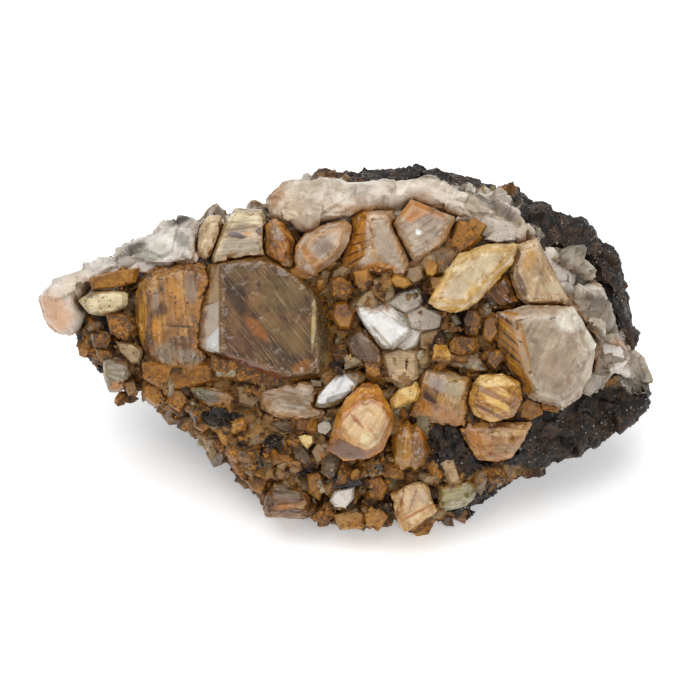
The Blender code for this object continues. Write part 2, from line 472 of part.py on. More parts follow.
def ring(u):
    """One closed section of the matrix, in four quarters between its bottom, front, top and back."""
    v_bottom, w_bottom, v_top, w_top, w_front, w_back = section_at(u)
    v_middle = (v_bottom + v_top) / 2
    points = []
    for step in range(RING_POINTS):
        angle = 2 * math.pi * step / RING_POINTS
        along, out = -math.cos(angle), math.sin(angle)
        v_edge, w_edge = (v_top, w_top) if along > 0 else (v_bottom, w_bottom)
        w_far = w_front if out > 0 else w_back
        v = v_middle + (v_edge - v_middle) * abs(along) ** ROUNDNESS
        w = w_edge + (w_far - w_edge) * abs(out) ** ROUNDNESS
        points.append(face_point(u, v, w))
    return points


def relief(place):
    """How far the broken rock stands proud of its smooth form at a place."""
    broad = noise.noise(place / BROAD_SPAN) * BROAD_RELIEF
    chips = (noise.voronoi(place / CHIP_SPAN)[0][0] - CHIP_LEVEL) * CHIP_RELIEF
    fine = noise.noise(place / FINE_SPAN + FINE_SHIFT) * FINE_RELIEF
    return broad - chips + fine


def link(name, mesh):
    obj = bpy.data.objects.new(name, mesh)
    bpy.context.scene.collection.objects.link(obj)
    return obj


def remove(obj):
    mesh = obj.data
    bpy.data.objects.remove(obj)
    bpy.data.meshes.remove(mesh)


def mesh_from(name, form):
    """A mesh of that name from a bmesh, which is used up."""
    mesh = bpy.data.meshes.new(name)
    bmesh.ops.recalc_face_normals(form, faces=form.faces)
    form.to_mesh(mesh)
    form.free()
    return mesh


def settle(obj):
    """Replaces an object's mesh by the one that its modifiers make."""
    graph = bpy.context.evaluated_depsgraph_get()
    mesh = bpy.data.meshes.new_from_object(obj.evaluated_get(graph))
    old = obj.data
    obj.modifiers.clear()
    obj.data = mesh
    bpy.data.meshes.remove(old)


def combine(obj, other, operation):
    modifier = obj.modifiers.new(operation, "BOOLEAN")
    modifier.operation = operation
    modifier.solver = "EXACT"
    modifier.object = other
    settle(obj)


def keep_largest(obj):
    """Drops the loose crumbs that a cut leaves, so that a piece is one body."""
    form = bmesh.new()
    form.from_mesh(obj.data)
    left = set(form.verts)
    bodies = []
    while left:
        body = {left.pop()}
        edge = list(body)
        while edge:
            for link_edge in edge.pop().link_edges:
                for vert in link_edge.verts:
                    if vert not in body:
                        body.add(vert)
                        edge.append(vert)
        left -= body
        bodies.append(body)
    bodies.sort(key=body_size)
    for body in bodies[:-1]:
        bmesh.ops.delete(form, geom=list(body), context="VERTS")
    form.to_mesh(obj.data)
    form.free()


def body_size(body):
    lows = [min(vert.co[axis] for vert in body) for axis in range(3)]
    highs = [max(vert.co[axis] for vert in body) for axis in range(3)]
    return math.prod(high - low for low, high in zip(lows, highs))


def inflate(mesh, distance):
    """Moves a mesh's faces out by a distance."""
    form = bmesh.new()
    form.from_mesh(mesh)
    form.normal_update()
    moves = [vert.normal * min(vert.calc_shell_factor(), SHELL_LIMIT) * distance for vert in form.verts]
    for vert, move in zip(form.verts, moves):
        vert.co += move
    form.to_mesh(mesh)
    form.free()


def bounds(obj):
    points = [vert.co for vert in obj.data.vertices]
    low = Vector([min(point[axis] for point in points) for axis in range(3)])
    high = Vector([max(point[axis] for point in points) for axis in range(3)])
    return low, high


def near(first, second):
    """Whether two objects' boxes meet."""
    (low_a, high_a), (low_b, high_b) = bounds(first), bounds(second)
    return all(low_a[i] < high_b[i] and low_b[i] < high_a[i] for i in range(3))


def matrix_form():
    """The smooth form of the matrix: rings along its length, closed at both ends."""
    first, last = SECTIONS[0][0], SECTIONS[-1][0]
    count = round((last - first) / RING_SPACING)
    form = bmesh.new()
    rows = []
    for step in range(count + 1):
        u = first + (last - first) * step / count
        rows.append([form.verts.new(point) for point in ring(u)])
    for before, after in zip(rows, rows[1:]):
        for i in range(RING_POINTS):
            j = (i + 1) % RING_POINTS
            form.faces.new((before[i], before[j], after[j], after[i]))
    form.faces.new(rows[0])
    form.faces.new(list(reversed(rows[-1])))
    return form


def roughen(mesh):
    """Moves a mesh's surface in and out by the relief of broken rock."""
    form = bmesh.new()
    form.from_mesh(mesh)
    form.normal_update()
    moves = [vert.normal * relief(vert.co) for vert in form.verts]
    for vert, move in zip(form.verts, moves):
        vert.co += move
    form.to_mesh(mesh)
    form.free()


def remesh(obj, voxel):
    modifier = obj.modifiers.new("remesh", "REMESH")
    modifier.mode = "VOXEL"
    modifier.voxel_size = voxel
    settle(obj)


def thin_out(obj, faces):
    """Cuts an object's surface down to a number of triangles."""
    obj.data.calc_loop_triangles()
    modifier = obj.modifiers.new("thin", "DECIMATE")
    modifier.use_collapse_triangulate = True
    modifier.ratio = min(1.0, faces / max(len(obj.data.loop_triangles), 1))
    settle(obj)


def ground_block():
    """A block that fills everything under the flat that the specimen rests on."""
    form = bmesh.new()
    bmesh.ops.create_cube(form, size=GROUND_BLOCK)
    for vert in form.verts:
        vert.co.z -= GROUND_BLOCK / 2
    return link("ground_block", mesh_from("ground_block", form))


def make_matrix():
    """The matrix without its crystals: broken rock, rough all round."""
    rock = link("matrix", mesh_from("matrix", matrix_form()))
    remesh(rock, ROCK_VOXEL)
    roughen(rock.data)
    thin_out(rock, ROCK_FACES)
    return rock


def set_flat(rock):
    """Cuts the flat that the specimen rests on."""
    block = ground_block()
    combine(rock, block, "DIFFERENCE")
    remove(block)
    keep_largest(rock)


def hull_mesh(name, points):
    """The convex solid around some points."""
    form = bmesh.new()
    for point in points:
        point.z = max(point.z, FOOT_CLEARANCE)
        form.verts.new(point)
    made = bmesh.ops.convex_hull(form, input=form.verts)
    spare = {item for item in made["geom_interior"] if isinstance(item, bmesh.types.BMVert)}
    bmesh.ops.delete(form, geom=list(spare), context="VERTS")
    loose = [vert for vert in form.verts if not vert.link_faces]
    bmesh.ops.delete(form, geom=loose, context="VERTS")
    return mesh_from(name, form)


def drawn_in(outline, share):
    """An outline drawn in towards its middle, or out from it where share is over 1."""
    u_middle = sum(u for u, _ in outline) / len(outline)
    v_middle = sum(v for _, v in outline) / len(outline)
    return [(u_middle + (u - u_middle) * share, v_middle + (v - v_middle) * share) for u, v in outline]


def crystal_points(crystal):
    """The corners of a crystal: its front facet, its rim and its root in the rock."""
    rim = drawn_in(crystal.rim, RIM_GROWTH)
    face = crystal.face or drawn_in(rim, crystal.face_share)
    u_middle = sum(u for u, _ in crystal.rim) / len(crystal.rim)
    v_middle = sum(v for _, v in crystal.rim) / len(crystal.rim)

    def height(u, v):
        return crystal.w + crystal.slope[0] * (u - u_middle) + crystal.slope[1] * (v - v_middle)

    points = [face_point(u, v, height(u, v)) for u, v in face]
    points += [face_point(u, v, height(u, v) - crystal.stand) for u, v in rim]
    root = drawn_in(rim, crystal.root_share)
    points += [face_point(u, v, surface_w(u, v) - ROOT_DEPTH) for u, v in root]
    return points


def small_crystal_points(dice, u, v, size, stand):
    """The eight corners of a small blocky crystal that leans a little, chosen by the dice."""
    turn = dice.uniform(0, math.pi)
    long, wide = size * dice.uniform(0.55, 0.8), size * dice.uniform(0.35, 0.55)
    skew = dice.uniform(-0.3, 0.3)
    lean_u, lean_v = dice.uniform(-0.35, 0.35), dice.uniform(-0.35, 0.35)
    foot = surface_w(u, v) - ROOT_DEPTH
    top = surface_w(u, v) + stand * dice.uniform(0.6, 1.1)
    points = []
    for w, share in ((foot, 1.0), (top, 0.8)):
        for a, b in ((-1, -1), (1, -1), (1, 1), (-1, 1)):
            along, across = a * long * share + skew * b, b * wide * share
            rise = w - foot
            point_u = u + along * math.cos(turn) - across * math.sin(turn) + lean_u * rise * 0.5
            point_v = v + along * math.sin(turn) + across * math.cos(turn) + lean_v * rise * 0.5
            tilt = (a * lean_u + b * lean_v) * size * 0.35 if w > foot else 0.0
            points.append(face_point(point_u, point_v, w + tilt))
    return points


def lump_solid(name, lumps, growth, faces):
    """Rounded lumps grown into one body, each larger all round by growth."""
    form = bmesh.new()
    for u, v, w, half_u, half_v, half_w in lumps:
        made = bmesh.ops.create_icosphere(form, subdivisions=2, radius=1.0)
        halves = Vector((half_u, half_v, half_w)) + Vector((growth, growth, growth))
        for vert in made["verts"]:
            place = vert.co * (1 + LUMP_UNEVENNESS * noise.noise(vert.co * LUMP_DETAIL + Vector((u, v, w))))
            vert.co = face_point(u + place.x * halves.x, v + place.y * halves.y, w + place.z * halves.z)
    obj = link(name, mesh_from(name, form))
    remesh(obj, LUMP_VOXEL)
    thin_out(obj, faces)
    return obj


def cutter_of(obj, distance):
    """A slightly larger copy of an object, which leaves the gap between two pieces that touch."""
    cutter = link(obj.name + ".room", obj.data.copy())
    inflate(cutter.data, distance)
    return cutter


def finish_material(name):
    colour, roughness, metallic = FINISHES[name]
    material = bpy.data.materials.get(name) or bpy.data.materials.new(name)
    material.use_nodes = True
    shader = material.node_tree.nodes["Principled BSDF"]
    shader.inputs["Base Color"].default_value = (*colour, 1.0)
    shader.inputs["Roughness"].default_value = roughness
    shader.inputs["Metallic"].default_value = metallic
    material.diffuse_color = (*colour, 1.0)
    return material


def paint(obj, finish):
    obj.data.materials.clear()
    obj.data.materials.append(finish_material(finish))
    for face in obj.data.polygons:
        face.material_index = 0


def make_crystal(crystal):
    obj = link(crystal.name, hull_mesh(crystal.name, crystal_points(crystal)))
    paint(obj, crystal.finish)
    return obj


def grow_crystals():
    """Each crystal gives way to the ones that stand further out. Returns the room that each takes."""
    rooms = []
    for crystal in sorted(CRYSTALS, key=lambda one: -one.w):
        obj = make_crystal(crystal)
        own_rooms = [cutter_of(obj, GAP)]
        if crystal.name in TWIN_HALVES:
            half = make_crystal(TWIN_HALVES[crystal.name])
            own_rooms.append(cutter_of(half, GAP))
            combine(obj, half, "UNION")
            remove(half)
        for room in rooms:
            if near(obj, room):
                combine(obj, room, "DIFFERENCE")
        keep_largest(obj)
        paint(obj, crystal.finish)
        rooms += own_rooms
    return rooms


def fuse_small_crystals(rock):
    """The small crystals that are one piece with the matrix."""
    for w, slope, rim in FUSED_CRYSTALS:
        crystal = Crystal(
            "fused_crystal", "matrix", w, rim, slope=slope, stand=FUSED_STAND, face_share=FUSED_FACE_SHARE
        )
        obj = make_crystal(crystal)
        combine(rock, obj, "UNION")
        remove(obj)
    dice = random.Random(SEED)
    for u, v, half_u, half_v, count, size, stand in SMALL_CRYSTALS:
        for _ in range(count):
            angle, reach = dice.uniform(0, 2 * math.pi), math.sqrt(dice.uniform(0, 1))
            place_u = u + half_u * reach * math.cos(angle)
            place_v = v + half_v * reach * math.sin(angle)
            points = small_crystal_points(dice, place_u, place_v, size * dice.uniform(0.7, 1.15), stand)
            obj = link("small_crystal", hull_mesh("small_crystal", points))
            combine(rock, obj, "UNION")
            remove(obj)


def grow_crusts(crystal_rooms):
    """The quartz crusts fill in round the crystals. Returns the room that each takes."""
    rooms = []
    for name, lumps in CRUSTS.items():
        obj = lump_solid(name, lumps, 0.0, CRUST_FACES[name])
        for room in crystal_rooms:
            if near(obj, room):
                combine(obj, room, "DIFFERENCE")
        keep_largest(obj)
        paint(obj, CRUST_FINISH)
        rooms.append(lump_solid(name + "_room", lumps, CRUST_GAP, CRUST_FACES[name]))
    return rooms


def finish_objects():
    """Moves everything to the specimen's origin and from millimetres to metres."""
    place = Matrix.Scale(MM, 4) @ Matrix.Translation(ORIGIN_SHIFT)
    for obj in bpy.context.scene.objects:
        obj.data.transform(place)
        obj.data.update()


def main():
    for obj in list(bpy.data.objects):
        bpy.data.objects.remove(obj)
    rock = make_matrix()
    fuse_small_crystals(rock)
    thin_out(rock, FUSED_FACES)
    set_flat(rock)
    crystal_rooms = grow_crystals()
    crust_rooms = grow_crusts(crystal_rooms)
    for room in crystal_rooms + crust_rooms:
        combine(rock, room, "DIFFERENCE")
        remove(room)
    keep_largest(rock)
    paint(rock, "matrix")
    finish_objects()


main()
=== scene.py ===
"""Dresses the titanite specimen: crystals, quartz crusts, dark matrix, grains and the studio round it.

Shapes and markings are placed in the face frame, in millimetres: u to the right along the leaning
crystal face, v up along it and w out of it.
"""

import math
import random

import bmesh
import bpy
import numpy as np
from bpy.props import EnumProperty, FloatProperty, FloatVectorProperty, IntProperty, PointerProperty
from mathutils import Matrix, Vector, noise
from mathutils.bvhtree import BVHTree
from mathutils.kdtree import KDTree


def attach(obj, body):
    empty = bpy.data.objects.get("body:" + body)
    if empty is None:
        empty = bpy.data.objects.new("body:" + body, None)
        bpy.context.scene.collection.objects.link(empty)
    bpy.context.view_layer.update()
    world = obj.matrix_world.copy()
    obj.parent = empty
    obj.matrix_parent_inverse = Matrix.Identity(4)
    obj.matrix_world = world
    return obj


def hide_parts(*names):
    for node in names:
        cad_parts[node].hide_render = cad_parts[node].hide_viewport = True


bl_info = {
    "name": "Titanite specimen",
    "version": (1, 0, 0),
    "blender": (4, 5, 0),
    "location": "3D View > Sidebar > Specimen",
    "description": "Crystals, crusts and grains of a titanite specimen on its matrix",
    "category": "Add Mesh",
}

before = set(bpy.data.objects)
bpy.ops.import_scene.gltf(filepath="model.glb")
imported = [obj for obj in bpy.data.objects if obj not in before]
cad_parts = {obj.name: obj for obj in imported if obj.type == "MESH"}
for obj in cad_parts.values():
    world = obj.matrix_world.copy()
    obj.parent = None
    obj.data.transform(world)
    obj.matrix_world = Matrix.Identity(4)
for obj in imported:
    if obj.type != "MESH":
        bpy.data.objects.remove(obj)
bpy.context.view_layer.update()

# Vector noise starts from the clock unless it is given a seed.
NOISE_SEED = 1
noise.seed_set(NOISE_SEED)

# Lengths are in millimetres. The face leans back, its middle is GROUND above the ground, and ORIGIN_SHIFT
# brings the specimen over the frame's origin.
MM = 0.001
FACE_LEAN = math.radians(45)
GROUND = 29.5 / math.sqrt(2)
ORIGIN_SHIFT = Vector((0.45, -3.386, 0.0))

# The camera looks straight at the face.
VIEW_DISTANCE = 700.0
FRAME_WIDTH = 105.0
SENSOR = 36.0

FACE_OUT = Vector((0.0, -math.cos(FACE_LEAN), math.sin(FACE_LEAN)))
FACE_UP = Vector((0.0, math.sin(FACE_LEAN), math.cos(FACE_LEAN)))

# Zones of the face where the matrix is bare and black: u and v of the middle, then half width and height.
BLACK_ZONES = [
    (36.5, -11.0, 11.5, 5.6),
    (27.5, -14.6, 6.0, 3.4),
    (17.0, -15.6, 4.6, 3.4),
    (14.5, -13.0, 2.6, 2.6),
    (35.5, 15.5, 8.5, 6.5),
    (40.0, 8.5, 3.2, 6.0),
    (13.0, 26.8, 15.5, 2.4),
    (29.0, 21.0, 7.0, 3.0),
    (20.5, -24.0, 5.0, 3.0),
    (44.0, -7.0, 4.0, 3.0),
    (-38.6, -3.6, 2.6, 1.8),
    (-29.0, 18.0, 9.0, 1.6),
    (-11.4, -13.8, 1.4, 1.2),
    (-9.6, -8.9, 1.2, 0.8),
    (-19.5, -10.2, 3.4, 1.3),
    (-35.4, 3.8, 2.4, 1.4),
    (-6.2, -18.6, 1.6, 1.0),
    (43.5, 2.5, 3.4, 6.0),
]

# Zones where the matrix is veiled by milky quartz, in the same way.
MILKY_ZONES = [
    (29.5, 11.0, 3.6, 4.6),
    (34.6, 7.6, 3.4, 4.2),
    (38.4, 0.6, 3.4, 3.6),
    (42.6, -3.4, 2.4, 3.0),
    (14.0, 21.8, 12.0, 3.0),
    (-5.0, 21.6, 8.0, 4.4),
    (25.0, 17.4, 4.4, 2.0),
    (-29.0, 13.6, 7.0, 3.2),
    (-40.0, 9.4, 6.0, 3.4),
    (-19.0, 19.6, 8.0, 2.6),
]

# The top edge of the specimen as it shows from the front, from left to right: u, and v under it.
TOP_EDGE = (
    [-46, -37, -24, -12.8, -10.5, 0, 14, 23, 36.8, 41.2, 46],
    [8, 13, 19.8, 21.6, 24.2, 27, 26.6, 24.3, 18.6, 13.6, 6],
)


def tint(code):
    """A colour from six hexadecimal digits, as the shader takes it."""
    parts = [int(code[i : i + 2], 16) / 255 for i in (0, 2, 4)]
    return tuple(c / 12.92 if c <= 0.04045 else ((c + 0.055) / 1.055) ** 2.4 for c in parts) + (1.0,)


def face_point(u, v, w):
    """The place in metres of u, v and w, as they show from the front."""
    nearness = 1.0 - w / VIEW_DISTANCE
    place = Vector((u * nearness, 0.0, GROUND)) + FACE_UP * (v * nearness) + FACE_OUT * w
    return (place + ORIGIN_SHIFT) * MM


def face_places(points):
    """u, v and w, as three columns, of an array of places in metres."""
    rock = points / MM - np.array(ORIGIN_SHIFT) - np.array((0.0, 0.0, GROUND))
    w = rock @ np.array(FACE_OUT)
    nearness = 1.0 - w / VIEW_DISTANCE
    return np.column_stack([rock[:, 0] / nearness, rock @ np.array(FACE_UP) / nearness, w])


# Shader building


class Value:
    """A socket of a material that Python arithmetic works on."""

    def __init__(self, shade, socket):
        self.shade = shade
        self.socket = socket

    def math(self, operation, first, second=0.0):
        return self.shade.node("ShaderNodeMath", {"operation": operation}, {0: first, 1: second})

    def __add__(self, other):
        return self.math("ADD", self, other)

    def __radd__(self, other):
        return self.math("ADD", other, self)

    def __sub__(self, other):
        return self.math("SUBTRACT", self, other)

    def __rsub__(self, other):
        return self.math("SUBTRACT", other, self)

    def __mul__(self, other):
        return self.math("MULTIPLY", self, other)

    def __rmul__(self, other):
        return self.math("MULTIPLY", other, self)


class Shade:
    """A material being made. place is the face frame's u, v and w at each point."""

    def __init__(self, name):
        self.material = bpy.data.materials.new(name)
        self.material.use_nodes = True
        self.tree = self.material.node_tree
        self.tree.nodes.clear()
        turn = Matrix.Rotation(FACE_LEAN - math.pi / 2, 3, "X")
        middle = turn @ (ORIGIN_SHIFT + Vector((0.0, 0.0, GROUND)))
        spot = self.node("ShaderNodeTexCoord", output="Object")
        self.place = self.node(
            "ShaderNodeMapping",
            {"vector_type": "POINT"},
            {
                "Vector": spot,
                "Scale": (1 / MM, 1 / MM, 1 / MM),
                "Rotation": (FACE_LEAN - math.pi / 2, 0.0, 0.0),
                "Location": tuple(-middle),
            },
        )

    def node(self, kind, settings=None, inputs=None, output=0):
        """Adds a node of a type, sets it up, fills its sockets and returns one of its outputs."""
        node = self.tree.nodes.new(kind)
        for key, value in (settings or {}).items():
            if key == "stops":
                ramp = node.color_ramp
                while len(ramp.elements) < len(value):
                    ramp.elements.new(0.5)
                for element, (position, colour) in zip(ramp.elements, value):
                    element.position = position
                    element.color = colour
            else:
                setattr(node, key, value)
        for key, value in (inputs or {}).items():
            if isinstance(value, Value):
                self.tree.links.new(value.socket, node.inputs[key])
            else:
                node.inputs[key].default_value = value
        return Value(self, node.outputs[output]) if node.outputs else None

    def step(self, value, low, high):
        """Rises smoothly from 0 at low to 1 at high."""
        return self.node(
            "ShaderNodeMapRange",
            {"interpolation_type": "SMOOTHSTEP"},
            {"Value": value, "From Min": low, "From Max": high},
        )

    def mix(self, factor, first, second):
        """Goes from the first colour to the second. A Mix node's colours are its sockets 6 and 7."""
        return self.node(
            "ShaderNodeMix", {"data_type": "RGBA"}, {0: factor, 6: first, 7: second}, output=2
        )

    def ramp(self, value, *stops):
        """The colour that a value has between stops, each a place from 0 to 1 and a colour."""
        return self.node("ShaderNodeValToRGB", {"stops": stops}, {0: value})

    def grain(self, size, detail=3.0, place=None, roughness=0.55, warp=0.0):
        """Noise whose lumps are about size millimetres."""
        return self.node(
            "ShaderNodeTexNoise",
            None,
            {
                "Vector": place or self.place,
                "Scale": 1 / size,
                "Detail": detail,
                "Roughness": roughness,
                "Distortion": warp,
            },
        )

    def cells(self, size):
        """How far a point is from the middle of its cell, where cells are about size millimetres."""
        return self.node(
            "ShaderNodeTexVoronoi", None, {"Vector": self.place, "Scale": 1 / size}, output="Distance"
        )

    def stretched(self, degrees, along, across):
        """The face frame turned by an angle and drawn out, for streaks that run along that angle."""
        turned = self.node(
            "ShaderNodeMapping",
            {"vector_type": "POINT"},
            {"Vector": self.place, "Rotation": (0.0, 0.0, -math.radians(degrees))},
        )
        return self.node(
            "ShaderNodeMapping",
            {"vector_type": "POINT"},
            {"Vector": turned, "Scale": (1 / along, 1 / across, 1 / across)},
        )

    def streaks(self, degrees, along, across, detail=3.0):
        """Noise in streaks that run along an angle, with their length and width in millimetres."""
        return self.grain(1.0, detail, self.stretched(degrees, along, across), warp=0.3)

    def growth_lines(self, size, detail=3.0):
        """Parallel lines about size millimetres apart, across each small crystal's own direction."""
        return self.node(
            "ShaderNodeTexNoise",
            {"noise_dimensions": "1D"},
            {"W": self.attribute("strata") * (1 / size), "Scale": 1.0, "Detail": detail},
        )

    def facet(self, corners, softness=0.12):
        """1 inside a convex outline of the face frame, given clockwise, and 0 outside it."""
        inside = 1.0
        for (u, v), (next_u, next_v) in zip(corners, corners[1:] + corners[:1]):
            length = math.hypot(next_u - u, next_v - v)
            inward = ((next_v - v) / length, -(next_u - u) / length)
            level = inward[0] * u + inward[1] * v
            distance = self.node(
                "ShaderNodeVectorMath",
                {"operation": "DOT_PRODUCT"},
                {0: self.place, 1: (*inward, 0.0)},
                output="Value",
            )
            inside = self.step(distance, level - softness, level + softness) * inside
        return inside

    def patch(self, u, v, half_u, half_v, degrees=0.0, softness=0.45, ragged=0.35):
        """1 inside a ragged oval of the face frame, and 0 outside it."""
        offset = self.node(
            "ShaderNodeVectorMath", {"operation": "SUBTRACT"}, {0: self.place, 1: (u, v, 0.0)}
        )
        turned = self.node(
            "ShaderNodeMapping",
            {"vector_type": "POINT"},
            {"Vector": offset, "Rotation": (0.0, 0.0, -math.radians(degrees))},
        )
        shrunk = self.node(
            "ShaderNodeMapping",
            {"vector_type": "POINT"},
            {"Vector": turned, "Scale": (1 / half_u, 1 / half_v, 0.0)},
        )
        reach = self.node("ShaderNodeVectorMath", {"operation": "LENGTH"}, {0: shrunk}, output="Value")
        uneven = (self.grain(1.1, 5.0, roughness=0.7) - 0.5) * (ragged * 3)
        return 1.0 - self.step(reach + uneven, 1.0 - softness, 1.0 + softness)

    def attribute(self, name):
        """A number that the mesh keeps on its points."""
        return self.node("ShaderNodeAttribute", {"attribute_name": name}, output="Fac")

    def bump(self, height, distance, strength=1.0, normal=None):
        inputs = {"Height": height, "Distance": distance * MM, "Strength": strength}
        if normal:
            inputs["Normal"] = normal
        return self.node("ShaderNodeBump", None, inputs)

    def finish(self, colour, roughness, normal=None, **constants):
        """Closes the material with a Principled shader. constants go straight on to its sockets."""
        inputs = {"Base Color": colour, "Roughness": roughness}
        if normal:
            inputs["Normal"] = normal
        inputs.update({name.replace("_", " "): value for name, value in constants.items()})
        shader = self.node("ShaderNodeBsdfPrincipled", None, inputs)
        self.node("ShaderNodeOutputMaterial", None, {"Surface": shader})
        return self.material


# Meshes


def link(name, mesh):
    obj = bpy.data.objects.new(name, mesh)
    bpy.context.scene.collection.objects.link(obj)
    return obj


def settle(obj):
    """Replaces an object's mesh by the one that its modifiers make."""
    graph = bpy.context.evaluated_depsgraph_get()
    mesh = bpy.data.meshes.new_from_object(obj.evaluated_get(graph))
    old = obj.data
    obj.modifiers.clear()
    obj.data = mesh
    bpy.data.meshes.remove(old)


def remesh(obj, voxel):
    modifier = obj.modifiers.new("remesh", "REMESH")
    modifier.mode = "VOXEL"
    modifier.voxel_size = voxel * MM
    settle(obj)


def soften(obj, repeats):
    modifier = obj.modifiers.new("soften", "SMOOTH")
    modifier.iterations = repeats
    settle(obj)


def mesh_arrays(mesh):
    """A mesh's points and normals, in metres."""
    points = np.empty(len(mesh.vertices) * 3)
    normals = np.empty(len(mesh.vertices) * 3)
    mesh.vertices.foreach_get("co", points)
    mesh.vertices.foreach_get("normal", normals)
    return points.reshape(-1, 3), normals.reshape(-1, 3)


def set_points(mesh, points):
    mesh.vertices.foreach_set("co", np.ascontiguousarray(points).ravel())
    mesh.update()


def keep_number(obj, name, values):
    """Stores a number on each point of an object, for its material to read."""
    layer = obj.data.attributes.new(name, "FLOAT", "POINT")
    layer.data.foreach_set("value", np.array(values, dtype=float))


def raise_surface(obj, relief):
    """Moves each point along its normal by the first number that relief(u, v, w) gives, in millimetres.

    The numbers after it are returned, one row for each point.
    """
    points, normals = mesh_arrays(obj.data)
    rows = np.array([relief(Vector(place), i) for i, place in enumerate(face_places(points))])
    set_points(obj.data, points + normals * (rows[:, 0] * MM)[:, None])
    return rows[:, 1:]


def keep_above_ground(obj):
    points, _ = mesh_arrays(obj.data)
    points[:, 2] = np.maximum(points[:, 2], 0.0)
    set_points(obj.data, points)


def smooth_shaded(obj, degrees):
    """Shades an object smoothly, but for the edges that turn by more than an angle."""
    obj.data.shade_smooth()
    obj.data.set_sharp_from_angle(angle=math.radians(degrees))


def node_copy(node, name):
    return link(name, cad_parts[node].data.copy())


def wear(obj, material):
    """Gives an object its only material."""
    obj.data.materials.clear()
    obj.data.materials.append(material)


def ride(obj, slot, *nodes):
    """Sets an object on the body root, and hides the solids that it stands for. slot is not used."""
    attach(obj, "root")
    if nodes:
        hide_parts(*nodes)


def sharp_edge_points(mesh, spacing=0.35, degrees=24):
    """Points along the sharp outer edges of a crystal, in metres."""
    form = bmesh.new()
    form.from_mesh(mesh)
    bmesh.ops.remove_doubles(form, verts=form.verts, dist=1e-6)
    points = []
    for edge in form.edges:
        if len(edge.link_faces) != 2 or not edge.is_convex:
            continue
        if edge.calc_face_angle(0.0) > math.radians(degrees):
            start, end = (vert.co for vert in edge.verts)
            count = max(2, round((end - start).length / (spacing * MM)) + 1)
            points += [start.lerp(end, i / (count - 1)) for i in range(count)]
    form.free()
    return points


def edge_distances(obj, edge_points):
    """How far each point of an object is from a sharp edge, in millimetres."""
    tree = KDTree(len(edge_points))
    for index, point in enumerate(edge_points):
        tree.insert(point, index)
    tree.balance()
    return [tree.find(vert.co)[2] / MM for vert in obj.data.vertices]


def solids_tree(nodes, heaps=()):
    """A search tree over the surfaces of some of the frame's solids, and of heaps of small crystals."""
    points, polygons = [], []
    for heap in heaps:
        polygons += [[len(points) + i for i in face] for face in heap.faces]
        points += [face_point(*point) for point in heap.points]
    for name in nodes:
        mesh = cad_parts[name].data
        start = len(points)
        points += [vert.co.copy() for vert in mesh.vertices]
        polygons += [[start + i for i in face.vertices] for face in mesh.polygons]
    return BVHTree.FromPolygons(points, polygons)


def distances_to(tree, points, limit):
    """How far each place is from a search tree's surface, in millimetres, up to a limit."""
    found = [tree.find_nearest(point, limit * MM)[3] for point in points]
    return [limit if distance is None else distance / MM for distance in found]


def distances_to_solids(obj, nodes, limit):
    """How far each point of an object is from some of the frame's solids, in the same way."""
    return distances_to(solids_tree(nodes), [vert.co for vert in obj.data.vertices], limit)


# How near a neighbour has to be for a crystal's or crust's material to know of it, in millimetres.
CONTACT_REACH = 3.0

# Broken facets: every cell of a mass has its own level, slope and tone. Keys that are spread and shifted by
# these read the noise at unrelated places.
KEY_SPREAD = 5.7
LEVEL_SHIFT = Vector((11.0, 3.0, 7.0))
TONE_SHIFT = Vector((2.0, 19.0, 5.0))


def broken_facet(place, size, tilt, lift):
    """The height of a mass of grown-together cells, how near its next cell is, and the cell's own key."""
    spot = place / size
    distances, middles = noise.voronoi(spot)
    key = middles[0] * KEY_SPREAD
    slope = noise.noise_vector(key)
    height = slope.dot(spot - middles[0]) * tilt * size + noise.noise(key + LEVEL_SHIFT) * lift
    return height, distances[1] - distances[0], key


def streak_place(place, degrees, along, across):
    """A place turned by an angle and drawn out, for relief that runs along that angle."""
    turn = math.radians(degrees)
    u = place.x * math.cos(turn) + place.y * math.sin(turn)
    v = -place.x * math.sin(turn) + place.y * math.cos(turn)
    return Vector((u / along, v / across, place.z / across))


# Crystals

# The dark and the light of the rust on the crystals.
RUST_COLOURS = ("4a2c10", "b0721c")

